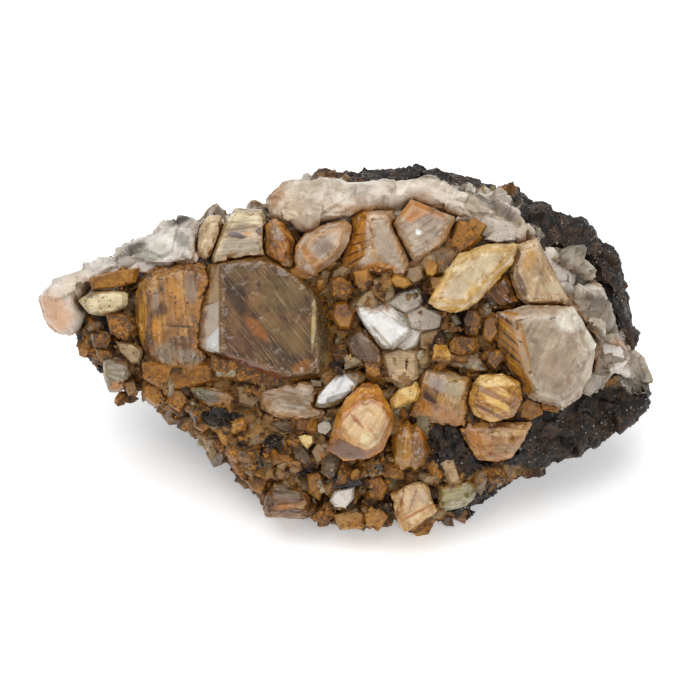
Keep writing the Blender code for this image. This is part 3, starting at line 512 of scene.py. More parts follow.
# Each crystal's look. tones go from dark to light, and angle is that of its growth lines, in degrees. rust,
# clear, rough and specks are how rusty, see-through, rough and specked it is. relief is the depth of its
# growth lines in millimetres, and lines the strength of their colour. edge is how much edge_tone shows along
# its edges. A facet is its corners, going clockwise in u and v, its colour and strength. A patch is u, v,
# half width, half height, angle, colour and strength. What a row leaves out is as in PLAIN_LOOK: chips and
# pits for the depth of its chipped edges and small pits, scratches and grooves for how strongly bright
# scratches and fine grooves run along its growth lines.
PLAIN_LOOK = dict(
    chips=1.0, pits=0.5, scratches=0.25, scratch_tone="e3d3b4", grooves=0.4, edge=0.0, facets=(),
)
LOOKS = {
    "large_smoky_crystal": dict(
        slot="smoky", tones=("382310", "5f4125", "88623a"), angle=-52, rust=0.16, clear=0.25,
        rough=0.12, relief=0.06, pits=0.15, chips=0.6, lines=0.3, specks=0.12, scratches=0.8,
        scratch_tone="c2a880", edge=0.35, edge_tone="9c7642",
        facets=[
            ([(-19.4, 7.2), (-19.4, -0.3), (-20.5, -0.4), (-22.0, 0.2), (-22.7, 1.5), (-22.5, 5.0),
              (-21.5, 6.5)], "beaa98", 0.95),
            ([(-19.4, 3.4), (-19.4, -0.3), (-21.4, -0.1), (-21.2, 1.6)], "f0ece5", 0.9),
            ([(-19.4, 12.6), (-19.4, 7.2), (-21.0, 6.9), (-20.6, 12.2)], "a98c66", 0.8),
            ([(-5.6, 9.0), (-3.4, 5.0), (-2.6, -1.6), (-4.4, -2.0), (-5.2, 2.0)], "533f24", 0.7),
        ],
        patches=[
            (-13.9, 3.2, 0.9, 2.9, 42, "b0641a", 0.62),
            (-17.2, 8.4, 1.6, 3.6, 24, "412c18", 0.7),
            (-16.6, 11.4, 2.2, 0.9, 0, "7a5d39", 0.7),
            (-9.8, 8.2, 3.8, 3.2, 20, "775e38", 0.75),
            (-15.6, 1.2, 2.6, 2.2, -50, "623b26", 0.6),
            (-11.4, 3.6, 1.2, 4.4, 40, "7c5e3a", 0.6),
            (-8.2, 1.6, 2.8, 2.6, -40, "7a5e37", 0.7),
            (-10.6, -0.6, 2.6, 1.2, -40, "4c3622", 0.6),
            (-7.0, -2.4, 1.8, 0.9, 20, "a86518", 0.65),
            (-5.4, 3.9, 0.32, 3.8, -3, "c4ac72", 0.9),
            (-2.6, -1.4, 1.8, 1.6, 0, "77602c", 0.7),
            (-16.6, -1.2, 2.9, 0.7, -16, "271214", 0.95),
            (-13.8, -3.1, 5.6, 1.2, -22, "73391c", 0.9),
        ],
    ),
    "rusty_block": dict(
        slot="rusty", tones=("462c13", "835521", "a87b3c"), angle=97, rust=0.34, clear=0.0,
        rough=0.36, relief=0.24, lines=0.5, specks=1.0, scratches=0.2, scratch_tone="b88f50",
        patches=[
            (-27.6, 6.2, 1.7, 1.1, 20, "4c3017", 0.8),
            (-25.2, 0.9, 2.0, 1.3, -10, "54361a", 0.8),
            (-29.6, 4.2, 1.2, 1.8, 0, "5a3a1c", 0.7),
            (-22.9, 4.9, 1.0, 1.5, 10, "5c3c20", 0.7),
            (-23.6, 9.2, 0.9, 2.4, 10, "856d58", 1.0),
            (-28.9, 7.4, 0.6, 1.8, -6, "86705a", 0.9),
            (-30.9, 4.0, 0.6, 5.4, -4, "bc8628", 0.8),
            (-28.6, 2.2, 0.7, 3.2, 8, "b47925", 0.8),
            (-21.4, 7.2, 1.2, 3.6, -6, "a1631d", 0.8),
            (-26.2, 7.0, 1.4, 4.0, 6, "ab742c", 0.7),
            (-24.9, 3.5, 2.4, 0.16, -3, "301d0e", 0.9),
            (-27.4, -0.6, 1.7, 2.0, 20, "7e6a53", 0.9),
            (-23.8, -0.9, 2.4, 1.1, -4, "826e5a", 0.95),
            (-22.0, -2.6, 1.1, 0.3, 0, "1e120b", 0.9),
            (-30.6, -1.0, 0.9, 3.0, 24, "75624b", 0.8),
            (-25.6, -4.4, 3.4, 1.2, -20, "866d4a", 0.8),
        ],
    ),
    "hexagonal_amber_crystal": dict(
        slot="amber", tones=("7a450f", "b06f1a", "cf9439"), angle=62, rust=0.24, clear=0.15,
        rough=0.18, relief=0.07, edge=0.45, edge_tone="a8611a", lines=0.8, specks=0.2, scratches=0.3,
        chips=0.5,
        facets=[
            ([(2.6, -7.4), (4.6, -8.4), (5.9, -10.1), (5.1, -12.0), (4.2, -13.8), (2.6, -14.8),
              (0.0, -13.7), (-1.2, -12.5), (-1.3, -10.8), (1.3, -8.0)], "d0a972", 0.9),
            ([(1.6, -12.4), (4.6, -11.9), (4.1, -13.7), (2.6, -14.6), (1.6, -14.2)], "e2c38f", 0.7),
            ([(-3.4, -14.0), (-1.6, -12.9), (0.2, -13.8), (2.6, -15.0), (2.4, -16.2), (-3.0, -15.8)],
             "6e451f", 0.8),
        ],
        patches=[
            (0.9, -10.3, 0.32, 1.7, 42, "a55d1a", 1.0),
            (2.4, -9.2, 1.8, 0.24, -30, "ddbd88", 0.7),
            (3.2, -12.0, 0.25, 1.6, 36, "b97b37", 0.7),
            (-0.6, -8.8, 0.5, 3.6, -40, "c7842d", 0.6),
            (5.9, -12.6, 0.7, 2.4, -16, "b4844c", 0.6),
        ],
    ),
    "honey_blade": dict(
        slot="honey", tones=("a08258", "c6ac84", "e2cda6"), angle=46, rust=0.06, clear=0.1,
        rough=0.08, relief=0.05, edge=0.7, edge_tone="b98a24", lines=0.6, specks=0.1, scratches=0.4,
        chips=0.6,
        facets=[
            ([(11.8, 7.3), (12.4, 7.6), (15.6, 6.5), (17.2, 6.6), (15.5, 5.6), (13.0, 6.3)],
             "bb8e21", 1.0),
        ],
        patches=[
            (15.4, 9.0, 2.2, 1.5, 46, "c9b296", 0.8),
            (19.6, 12.4, 4.6, 1.3, 36, "d0bc98", 0.7),
            (18.2, 14.4, 3.0, 0.5, 22, "b28a28", 0.8),
            (22.6, 11.6, 2.4, 0.5, 40, "b58626", 0.8),
            (17.6, 8.2, 0.5, 2.2, -30, "bd8e28", 0.6),
            (13.2, 9.4, 0.4, 2.2, -32, "c59a40", 0.7),
        ],
    ),
    "large_pale_crystal": dict(
        slot="pale", tones=("76614d", "958068", "b7a38a"), angle=64, rust=0.12, clear=0.05,
        rough=0.34, relief=0.08, edge=0.35, edge_tone="d8cab8", lines=0.12, specks=0.4, scratches=0.1,
        grooves=0.2,
        facets=[
            ([(21.4, 6.4), (25.0, 5.4), (26.4, 0.0), (27.4, -7.4), (25.2, -5.8), (21.6, 0.4)],
             "a06c27", 1.0),
        ],
        patches=[
            (23.0, 4.6, 2.4, 0.24, -42, "3a260e", 0.9),
            (23.2, 3.2, 2.4, 0.14, -42, "c8953a", 0.9),
            (23.4, 2.0, 2.4, 0.20, -42, "432c10", 0.9),
            (23.6, 0.6, 2.4, 0.12, -42, "4e3414", 0.9),
            (23.9, -0.8, 2.4, 0.24, -42, "3a260e", 0.9),
            (24.1, -2.0, 2.4, 0.14, -42, "c8953a", 0.9),
            (24.3, -3.6, 2.4, 0.20, -42, "4a3012", 0.9),
            (24.5, -5.0, 2.4, 0.16, -42, "4e3414", 0.9),
            (33.4, 4.6, 3.6, 1.7, 10, "d1c8b6", 0.9),
            (36.4, 2.2, 1.6, 2.4, 0, "d9d1bf", 0.8),
            (28.2, 4.4, 2.4, 1.4, 0, "b09d84", 0.6),
            (30.2, -3.2, 2.4, 3.4, 20, "937b66", 0.6),
            (36.2, -3.2, 2.6, 1.6, 20, "bbaa94", 0.6),
        ],
    ),
    "silver_faced_crystal": dict(
        slot="pale", tones=("4c4028", "716541", "90835c"), angle=25, rust=0.08, clear=0.2,
        rough=0.07, relief=0.05, lines=0.5, specks=0.2, chips=0.5,
        # Painted reflection: the white and grey facets and the grey streak among the patches paint the
        # light's sheen on the silver face.
        facets=[
            ([(-1.3, -3.2), (0.3, -4.6), (0.9, -5.4), (-0.8, -7.0), (-4.3, -8.0), (-4.9, -7.8),
              (-4.8, -7.0), (-2.6, -4.4)], "e9e9e8", 1.0),
            ([(-1.2, -6.3), (0.4, -5.9), (-0.8, -7.0), (-3.6, -7.9), (-3.4, -7.0)], "817b71", 0.6),
        ],
        patches=[(-1.4, -5.0, 0.3, 1.6, -30, "b3b3b0", 0.8), (0.2, -3.4, 1.0, 0.5, -20, "1b1711", 0.8)],
    ),
    "beige_block": dict(
        slot="beige", tones=("785d40", "9d8263", "baa283"), angle=-12, rust=0.14, clear=0.15,
        rough=0.22, relief=0.12, edge=0.35, edge_tone="b08a5c", lines=0.4, specks=0.15,
        facets=[([(-5.9, -5.8), (-4.2, -9.7), (-6.0, -10.2), (-7.6, -9.6), (-6.8, -6.6)], "8d765b", 0.7)],
        patches=[(-12.4, -7.2, 1.3, 1.4, 20, "85592d", 0.8), (-9.2, -9.8, 3.4, 0.35, -12, "95622c", 0.8)],
    ),
    "twin_amber_crystal": dict(
        slot="amber", tones=("613808", "996113", "be8630"), angle=86, rust=0.14, clear=0.35,
        rough=0.1, relief=0.07, edge=0.40, edge_tone="c98a2c", lines=0.9, specks=0.1, scratches=0.35,
        chips=0.5,
        facets=[([(9.4, -10.6), (11.4, -12.4), (11.9, -15.0), (11.0, -17.0), (9.4, -17.4)], "87542c", 0.5)],
        patches=[
            (9.2, -14.2, 0.16, 3.6, -3, "291408", 1.0),
            (7.4, -14.6, 0.9, 2.2, 0, "a27833", 0.7),
            (8.3, -13.6, 0.16, 2.6, -5, "dc993d", 0.8),
            (10.4, -15.6, 0.9, 1.0, 0, "7a5941", 0.8),
            (10.8, -12.8, 0.5, 1.6, 30, "b76616", 0.8),
        ],
    ),
    "cube_crystal": dict(
        slot="beige", tones=("946b3c", "bc9561", "d3b683"), angle=-66, rust=0.16, clear=0.1,
        rough=0.22, relief=0.07, edge=0.40, edge_tone="c08a44", lines=0.6, specks=0.2, chips=0.7,
        facets=[([(6.6, -22.6), (8.2, -27.4), (13.2, -24.2), (12.4, -23.2), (8.6, -24.4)], "ac7231", 0.9)],
        patches=[
            (7.2, -23.8, 0.3, 2.8, -18, "884914", 0.9), (10.2, -24.0, 2.8, 0.25, 28, "a15e19", 0.9),
            (9.4, -22.2, 0.25, 1.8, -20, "896239", 0.8), (11.4, -21.6, 1.2, 1.2, 0, "af9b7b", 0.7),
        ],
    ),
    "amber_block": dict(
        slot="beige", tones=("754f2a", "9c7240", "b89360"), angle=78, rust=0.22, clear=0.08,
        rough=0.22, relief=0.1, edge=0.40, edge_tone="b8843a", lines=0.7, specks=0.3,
        facets=[
            ([(11.2, -2.0), (14.6, -3.4), (14.8, -6.0), (13.0, -6.4), (10.8, -4.2)], "907966", 0.85),
            ([(10.6, -4.6), (13.2, -6.2), (12.6, -8.0), (9.8, -6.6)], "401f16", 0.95),
            ([(9.2, -7.0), (12.4, -8.2), (12.2, -10.0), (9.0, -8.9)], "ad701e", 0.9),
        ],
        patches=[(15.6, -5.6, 1.6, 2.6, 10, "9e8b68", 0.8), (15.0, -10.0, 2.6, 1.0, -20, "a66b28", 0.8)],
    ),
    "banded_crystal": dict(
        slot="amber", tones=("663b11", "a9742c", "caa056"), angle=-28, rust=0.16, clear=0.05,
        rough=0.22, relief=0.12, lines=0.9, specks=0.35,
        facets=[([(18.6, -3.9), (22.8, -3.8), (24.6, -5.2), (22.0, -5.4), (18.4, -5.6)], "d3b06d", 0.9)],
        patches=[
            (21.0, -6.6, 3.6, 0.5, -30, "845319", 0.9), (22.4, -8.2, 3.4, 0.45, -30, "d1a657", 0.8),
            (21.2, -9.4, 3.2, 0.35, -30, "673e14", 0.8),
            (24.6, -8.2, 1.2, 1.8, 0, "774919", 0.7),
        ],
    ),
    "anvil_crystal": dict(
        slot="beige", tones=("6a4220", "9c6a34", "bb9056"), angle=4, rust=0.24, clear=0.05,
        rough=0.28, relief=0.1, lines=0.6, specks=0.3,
        facets=[([(16.9, -11.4), (19.4, -12.6), (19.8, -16.2), (18.4, -14.4)], "a1651b", 0.9)],
        patches=[(23.0, -12.2, 3.4, 0.7, 0, "bf9c68", 0.7), (23.0, -14.6, 2.0, 1.0, 0, "806140", 0.7)],
    ),
    "pink_rounded_crystal": dict(
        slot="pale", tones=("80634a", "a98b72", "c9b29c"), angle=58, rust=0.14, clear=0.15,
        rough=0.22, relief=0.08, edge=0.60, edge_tone="b0782a", lines=0.4, specks=0.2, chips=0.5,
        patches=[
            (-3.6, 15.2, 2.2, 2.0, 40, "89735e", 0.7), (-1.6, 16.8, 1.6, 1.6, 0, "cbb196", 0.8),
            (-5.6, 13.4, 0.8, 2.4, 40, "a96b1e", 0.7), (-3.0, 11.6, 3.4, 0.6, 24, "b8792c", 0.8),
        ],
    ),
    "rusty_rounded_crystal": dict(
        slot="rusty", tones=("58340f", "975e20", "b58140"), angle=112, rust=0.34, clear=0.05,
        rough=0.26, relief=0.12, lines=1.2, specks=0.5,
        patches=[(-10.9, 17.6, 0.7, 1.6, 20, "877059", 0.8), (-8.6, 12.6, 1.4, 0.8, 20, "a99374", 0.8)],
    ),
    "striated_crystal": dict(
        slot="beige", tones=("7e654c", "a68d73", "c6b199"), angle=76, rust=0.16, clear=0.05,
        rough=0.26, relief=0.1, edge=0.50, edge_tone="ab7430", lines=0.6, specks=0.3,
        facets=[
            ([(-1.4, 20.0), (2.4, 20.8), (2.2, 14.0), (0.0, 11.6), (-1.6, 12.6)], "a96b18", 0.95),
            ([(3.2, 19.6), (6.2, 19.8), (8.4, 12.4), (5.4, 12.4), (3.4, 14.0)], "a28c74", 0.8),
        ],
        patches=[
            (0.2, 14.2, 2.6, 0.16, 24, "4b280d", 0.9), (0.4, 15.6, 2.4, 0.16, 16, "552f0d", 0.9),
            (0.4, 17.0, 2.2, 0.16, 8, "59320d", 0.9), (0.2, 12.9, 2.4, 0.16, 30, "4b280d", 0.9),
            (4.4, 12.2, 2.6, 0.8, 0, "a96718", 0.9), (7.4, 14.6, 0.5, 2.6, 18, "a97f52", 0.7),
        ],
    ),
    "rhombic_crystal": dict(
        slot="pale", tones=("6e5a46", "978068", "b5a088"), angle=34, rust=0.12, clear=0.1,
        rough=0.16, relief=0.06, edge=0.40, edge_tone="b08450", lines=0.35, specks=0.15, chips=0.6,
        facets=[
            ([(9.7, 17.9), (10.6, 17.7), (10.4, 17.0), (9.8, 17.1)], "f4f1ec", 1.0),
            ([(7.4, 20.2), (9.4, 22.8), (12.4, 20.8), (10.6, 19.6), (8.6, 18.8)], "a96b20", 0.8),
        ],
        patches=[
            (14.6, 17.6, 0.5, 2.6, -38, "b27f47", 0.9), (9.0, 14.4, 2.2, 0.4, -55, "826e59", 0.7),
            (12.4, 20.2, 2.0, 0.5, -10, "b26723", 0.7),
        ],
    ),
    "cream_block": dict(
        slot="beige", tones=("7a6446", "a88f6c", "cdb898"), angle=4, rust=0.1, clear=0.2,
        rough=0.12, relief=0.1, edge=0.50, edge_tone="d8c290", lines=0.6, specks=0.1, scratches=0.4,
        facets=[
            ([(-18.3, 20.4), (-12.0, 19.6), (-12.2, 18.6), (-18.2, 19.2)], "d4c197", 0.8),
            ([(-18.6, 16.0), (-13.0, 16.2), (-12.6, 13.0), (-19.6, 12.4)], "9a8a6c", 0.6),
        ],
        patches=[
            (-16.8, 17.0, 1.5, 0.45, -12, "472828", 0.95), (-13.2, 17.6, 0.7, 0.6, 0, "332c23", 0.95),
            (-15.2, 17.3, 0.6, 0.35, 0, "c17f20", 0.8), (-14.6, 14.4, 1.4, 0.8, 0, "b09f7e", 0.6),
        ],
    ),
    "cream_chip": dict(
        slot="quartz", tones=("8f7350", "bda07a", "dcc6a4"), angle=76, rust=0.2, clear=0.15,
        rough=0.2, relief=0.1, lines=0.5, specks=0.2,
        patches=[(-19.6, 16.6, 0.8, 1.0, 0, "e1c892", 0.9)],
    ),
    "tongue_crystal": dict(
        slot="quartz", tones=("836b44", "b39a6e", "d8c59c"), angle=4, rust=0.12, clear=0.12,
        rough=0.14, relief=0.06, edge=0.50, edge_tone="d8c698", lines=0.5, specks=0.9, chips=0.4,
        patches=[(-35.4, 7.4, 1.6, 0.9, 10, "c3b080", 0.7), (-38.6, 8.2, 1.4, 0.5, 0, "47381e", 0.8)],
    ),
    "white_crystal": dict(
        slot="quartz", tones=("857965", "b0a594", "dcd6cc"), angle=-48, rust=0.08, clear=0.15,
        rough=0.1, relief=0.06, lines=0.6, specks=0.1, scratches=0.4, chips=0.6,
        facets=[([(0.8, 5.5), (4.0, 6.0), (8.4, 3.2), (5.6, 0.2), (2.6, 3.3)], "e9e3d9", 0.9)],
        patches=[(9.4, 4.2, 2.6, 1.2, 0, "81806e", 0.8), (5.0, 1.6, 2.8, 0.3, -48, "978771", 0.8)],
    ),
    "dark_wedge": dict(
        slot="brown", tones=("433023", "664c39", "82674f"), angle=-60, rust=0.18, clear=0.2,
        rough=0.14, relief=0.07, lines=0.5, specks=0.2,
        patches=[(2.0, 1.4, 1.0, 1.2, 0, "857060", 0.7)],
    ),
    "grey_green_wedge": dict(
        slot="olive", tones=("574f37", "786d4e", "928666"), angle=-14, rust=0.2, clear=0.15,
        rough=0.18, relief=0.08, lines=0.4, specks=0.2,
        patches=[(17.0, -1.0, 3.0, 0.4, -20, "a19777", 0.6)],
    ),
    "cream_crystal_right": dict(
        slot="beige", tones=("8e704a", "b1926a", "ccb38d"), angle=-62, rust=0.2, clear=0.1,
        rough=0.24, relief=0.12, lines=0.8, specks=0.3,
        patches=[
            (26.6, 13.4, 0.9, 1.8, -20, "bd8e45", 0.8), (30.2, 9.2, 1.6, 1.0, 0, "cbb897", 0.8),
            (28.0, 10.0, 0.35, 3.4, -14, "776247", 0.6), (25.4, 9.6, 0.6, 2.4, 20, "583718", 0.8),
        ],
    ),
    "brown_wedge": dict(
        slot="brown", tones=("2a170a", "533014", "804f20"), angle=-48, rust=0.25, clear=0.1,
        rough=0.18, relief=0.14, lines=1.2, specks=0.3,
        patches=[(23.8, 9.0, 0.4, 3.0, 30, "1d1008", 0.9), (20.4, 9.4, 1.2, 1.2, 0, "9c6b31", 0.6)],
    ),
    "boat_crystal": dict(
        slot="rusty", tones=("54361b", "7c5b34", "9c784a"), angle=-8, rust=0.26, clear=0.0,
        rough=0.3, relief=0.08, lines=0.6, specks=0.3,
        facets=[
            ([(-24.0, -5.4), (-20.0, -5.9), (-19.4, -9.2), (-21.8, -8.6)], "625842", 0.8),
            ([(-19.4, -6.4), (-16.6, -7.2), (-17.4, -9.4), (-19.2, -9.4)], "966b36", 0.8),
        ],
        patches=[(-22.8, -5.6, 1.2, 0.6, 0, "848457", 0.6)],
    ),
    "brown_pillar": dict(
        slot="brown", tones=("2e2016", "523b25", "735532"), angle=66, rust=0.3, clear=0.0,
        rough=0.34, relief=0.14, lines=1.0, specks=0.3,
        patches=[(-12.8, -9.6, 0.6, 0.7, 0, "b27f47", 0.8), (-15.4, -11.4, 0.5, 2.0, 0, "695a47", 0.7)],
    ),
    "stepped_brown_block": dict(
        slot="rusty", tones=("41260d", "6b441d", "8f6732"), angle=-4, rust=0.34, clear=0.0,
        rough=0.36, relief=0.22, lines=1.0, specks=0.4,
        patches=[
            (-9.0, -20.8, 2.2, 1.2, -20, "695837", 0.8), (-9.6, -23.4, 2.4, 0.4, 6, "aa6d31", 0.8),
            (-12.0, -21.0, 0.6, 2.8, 0, "674422", 0.6),
        ],
    ),
    "olive_crystal": dict(
        slot="olive", tones=("544c25", "786d3c", "998d5b"), angle=8, rust=0.1, clear=0.1,
        rough=0.26, relief=0.14, lines=0.8, specks=0.3,
        patches=[(16.6, -22.8, 2.6, 0.8, 12, "a19677", 0.8), (15.0, -21.0, 1.2, 1.0, 0, "9b8f4a", 0.6)],
    ),
    "grey_block_left": dict(
        slot="pale", tones=("5b513e", "80735b", "9b8e72"), angle=-20, rust=0.22, clear=0.1,
        rough=0.24, relief=0.09, lines=0.4, specks=0.3,
        patches=[(-34.6, -5.4, 1.6, 0.8, 0, "a97036", 0.7)],
    ),
}

CRYSTAL_GROUPS = {
    "clear": ("large_smoky_crystal", "honey_blade", "silver_faced_crystal", "cream_block", "white_crystal"),
    "amber": ("hexagonal_amber_crystal", "twin_amber_crystal", "banded_crystal", "amber_block",
              "anvil_crystal", "cube_crystal"),
    "rusty": ("rusty_block", "rusty_rounded_crystal", "stepped_brown_block", "boat_crystal",
              "brown_pillar", "brown_wedge", "dark_wedge"),
    "pale": ("large_pale_crystal", "beige_block", "pink_rounded_crystal", "striated_crystal",
             "rhombic_crystal", "cream_chip", "tongue_crystal", "grey_green_wedge",
             "cream_crystal_right", "olive_crystal", "grey_block_left"),
}


def crystal_material(name, look):
    """A crystal's tones, growth lines, scratches and facets, with rust round its foot and over its faces."""
    shade = Shade(name)
    dark, middle, light = (tint(code) for code in look["tones"])
    angle = look["angle"]
    lines = shade.streaks(angle, 5.0, 0.3, 4.0)
    broad = shade.streaks(angle, 6.0, 1.8, 2.0)
    clouds = shade.grain(2.6, 6.0, roughness=0.62, warp=0.6)
    tone = (lines - 0.5) * look["lines"] + (broad - 0.5) * 0.7 + (clouds - 0.5) * 1.1 + 0.5
    colour = shade.ramp(tone, (0.28, dark), (0.5, middle), (0.72, light))

    def veined(code):
        """A facet's or patch's own colour, which goes from deep to bright with the crystal's tone."""
        red, green, blue, _ = tint(code)
        deep = (red * 0.55, green * 0.52, blue * 0.48, 1.0)
        bright = (min(red * 1.35, 0.9), min(green * 1.38, 0.9), min(blue * 1.42, 0.9), 1.0)
        return shade.mix(tone, deep, bright)

    # Facets in their own colours; on the silver-faced crystal they are a painted reflection.
    for corners, code, strength in look["facets"]:
        facet_wear_and_sheen = clouds * 0.8 + (strength - 0.4)
        colour = shade.mix(shade.facet(corners) * shade.step(facet_wear_and_sheen, 0.0, 0.8), colour, veined(code))
    for u, v, half_u, half_v, degrees, code, strength in look["patches"]:
        spot = shade.patch(u, v, half_u, half_v, degrees) * (strength * 0.6 + clouds * (strength * 0.7))
        colour = shade.mix(shade.step(spot, 0.1, 1.0), colour, veined(code))
    if look["edge"]:
        edge = 1.0 - shade.step(shade.attribute("edge") + (clouds - 0.5) * 1.2, 0.1, 0.8)
        colour = shade.mix(edge * look["edge"], colour, veined(look["edge_tone"]))
    bright = shade.step(shade.streaks(angle, 4.5, 0.1, 2.0), 0.6, 0.72) * look["scratches"]
    colour = shade.mix(bright, colour, tint(look["scratch_tone"]))
    near = shade.attribute("contact")
    spread = shade.grain(1.5, 7.0, roughness=0.72, warp=0.8)
    foot = 1.0 - shade.step(near + (spread - 0.5) * 3.0, 0.2, 1.3)
    stain = shade.step(
        shade.grain(2.1, 7.0, roughness=0.68, warp=1.0) + foot * 0.1,
        0.7 - look["rust"] * 0.34, 0.78 - look["rust"] * 0.3,
    )
    dark_rust, light_rust = (tint(code) for code in RUST_COLOURS)
    rust = shade.mix(shade.step(shade.grain(0.8, 5.0, roughness=0.7), 0.38, 0.62), dark_rust, light_rust)
    colour = shade.mix(stain * 0.85, colour, rust)
    colour = shade.mix(foot * 0.8, colour, rust)
    # Painted shade: dark brown where the crystal meets its neighbours, for the shade in the gap between
    # them.
    gap = 1.0 - shade.step(near + (spread - 0.5) * 0.8, 0.0, 0.5)
    colour = shade.mix(gap * 0.4, colour, tint("38210c"))
    sparse = shade.step(shade.grain(3.0), 0.5 - look["specks"] * 0.3, 0.6 - look["specks"] * 0.3)
    dots = shade.cells(0.6) + (shade.grain(0.8, 4.0) - 0.5) * 0.8
    specks = (1.0 - shade.step(dots, 0.08, 0.24)) * sparse
    colour = shade.mix(specks * look["specks"], colour, tint("1e120a"))
    rough = look["rough"] + stain * 0.3 + foot * 0.25 + (shade.grain(0.6) - 0.5) * 0.12
    fine = shade.streaks(angle, 3.0, 0.14, 3.0)
    normal = shade.bump(fine, 0.06, look["grooves"], shade.bump(shade.grain(0.3, 5.0), 0.06, 0.25))
    return shade.finish(
        colour, rough, normal, Transmission_Weight=look["clear"], IOR=1.65, Specular_IOR_Level=0.45,
        Coat_Weight=0.15, Coat_Roughness=0.04,
    )


def crystal_relief(look, edges):
    """The relief of a crystal: growth lines, flat ledges, chipped edges and small pits."""
    angle, depth = look["angle"], look["relief"]

    def relief(place, index):
        lines = noise.noise(streak_place(place, angle, 6.0, 0.5)) * depth
        ledge, _, _ = broken_facet(streak_place(place, angle, 2.6, 1.3), size=1.6, tilt=0.4, lift=1.0)
        chip, _, _ = broken_facet(place, size=1.3, tilt=1.2, lift=0.9)
        chipped = max(0.0, 0.8 - edges[index]) * max(0.0, chip + 0.1) * look["chips"]
        pits = max(0.0, noise.noise(place / 0.7 + TONE_SHIFT) - 0.42) * look["pits"]
        return (0.06 + lines + ledge * depth * 1.1 - chipped - pits,)

    return relief


def dress_crystal(node, voxel):
    """Makes the crystal that stands for one solid."""
    look = {**PLAIN_LOOK, **LOOKS[node]}
    obj = node_copy(node, node + "_stone")
    edge_points = sharp_edge_points(obj.data)
    remesh(obj, voxel)
    edges = edge_distances(obj, edge_points)
    contact = distances_to_solids(obj, [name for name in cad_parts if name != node], CONTACT_REACH)
    raise_surface(obj, crystal_relief(look, edges))
    keep_number(obj, "contact", contact)
    keep_number(obj, "edge", edges)
    smooth_shaded(obj, degrees=34)
    wear(obj, crystal_material(node + "_look", look))
    ride(obj, look["slot"], node)


# Quartz crusts

# Smooth lobes of the crusts: u and v of the middle, then half width and height.
SMOOTH_LOBES = [
    (-43.5, 5.5, 5.0, 6.0),
    (-4.0, 23.0, 8.0, 5.0),
    (8.0, 23.4, 6.0, 3.0),
    (-36.0, 11.5, 5.0, 3.0),
    (-28.0, 15.6, 6.0, 3.6),
]

# Each crust's look: tones from dark to light, and patches as on the crystals.
CRUST_LOOKS = {
    "quartz_crust_left": dict(
        tones=("958b7d", "bbb1a3", "dfd9d0"),
        patches=[
            (-44.4, 5.2, 3.0, 3.4, 30, "cfa37f", 0.9),
            (-41.0, 9.6, 2.4, 2.4, 0, "d5c4ae", 0.8),
            (-36.0, 9.9, 4.6, 0.9, 8, "845421", 0.85),
            (-30.0, 12.0, 4.0, 0.7, 5, "9e6e32", 0.8),
            (-32.0, 15.2, 1.8, 0.8, 20, "2a241d", 0.85),
            (-29.4, 14.6, 2.4, 1.2, 10, "a0a08d", 0.6),
            # Painted shade: this grey-brown patch is the dark of a pit in the quartz.
            (-25.0, 16.4, 1.0, 1.5, 30, "564b3d", 0.7),
            (-25.4, 19.4, 1.8, 0.6, 20, "2a241d", 0.85),
        ],
    ),
    "quartz_crust_top": dict(
        tones=("877762", "b3a08a", "ded1c1"),
        patches=[
            (-9.0, 20.4, 2.4, 3.0, 30, "c1a888", 0.6),
            (-11.2, 22.6, 0.9, 2.4, -30, "a16c36", 0.7),
            (4.0, 20.6, 6.0, 0.7, -4, "b28142", 0.7),
            (13.0, 20.4, 4.0, 0.8, -10, "a97032", 0.7),
            (1.6, 23.8, 2.0, 1.0, 10, "948a78", 0.6),
            (11.0, 22.6, 1.4, 1.4, 30, "ac9276", 0.6),
            (6.0, 26.2, 9.0, 0.7, 0, "3a342c", 0.75),
            (17.0, 24.6, 5.0, 0.8, -22, "423c32", 0.75),
            (22.0, 21.4, 4.0, 0.9, -34, "564b3f", 0.75),
            (20.0, 17.8, 3.0, 0.6, -20, "b27c36", 0.8),
        ],
    ),
    "quartz_crust_right": dict(
        tones=("867967", "b0a28f", "dcd3c5"),
        patches=[
            (36.6, 7.4, 1.6, 1.2, 0, "685c4d", 0.7), (38.0, -1.6, 1.4, 0.9, 0, "847059", 0.6),
            (40.4, 1.0, 1.6, 0.7, -20, "a9743b", 0.6), (43.6, -5.6, 1.2, 2.2, 20, "524b40", 0.7),
        ],
    ),
    "quartz_vein": dict(
        tones=("726857", "968a76", "beb29e"),
        patches=[(33.0, 11.0, 1.2, 1.2, 0, "754531", 0.6), (36.0, 9.0, 1.6, 0.8, -40, "544d43", 0.7)],
    ),
}


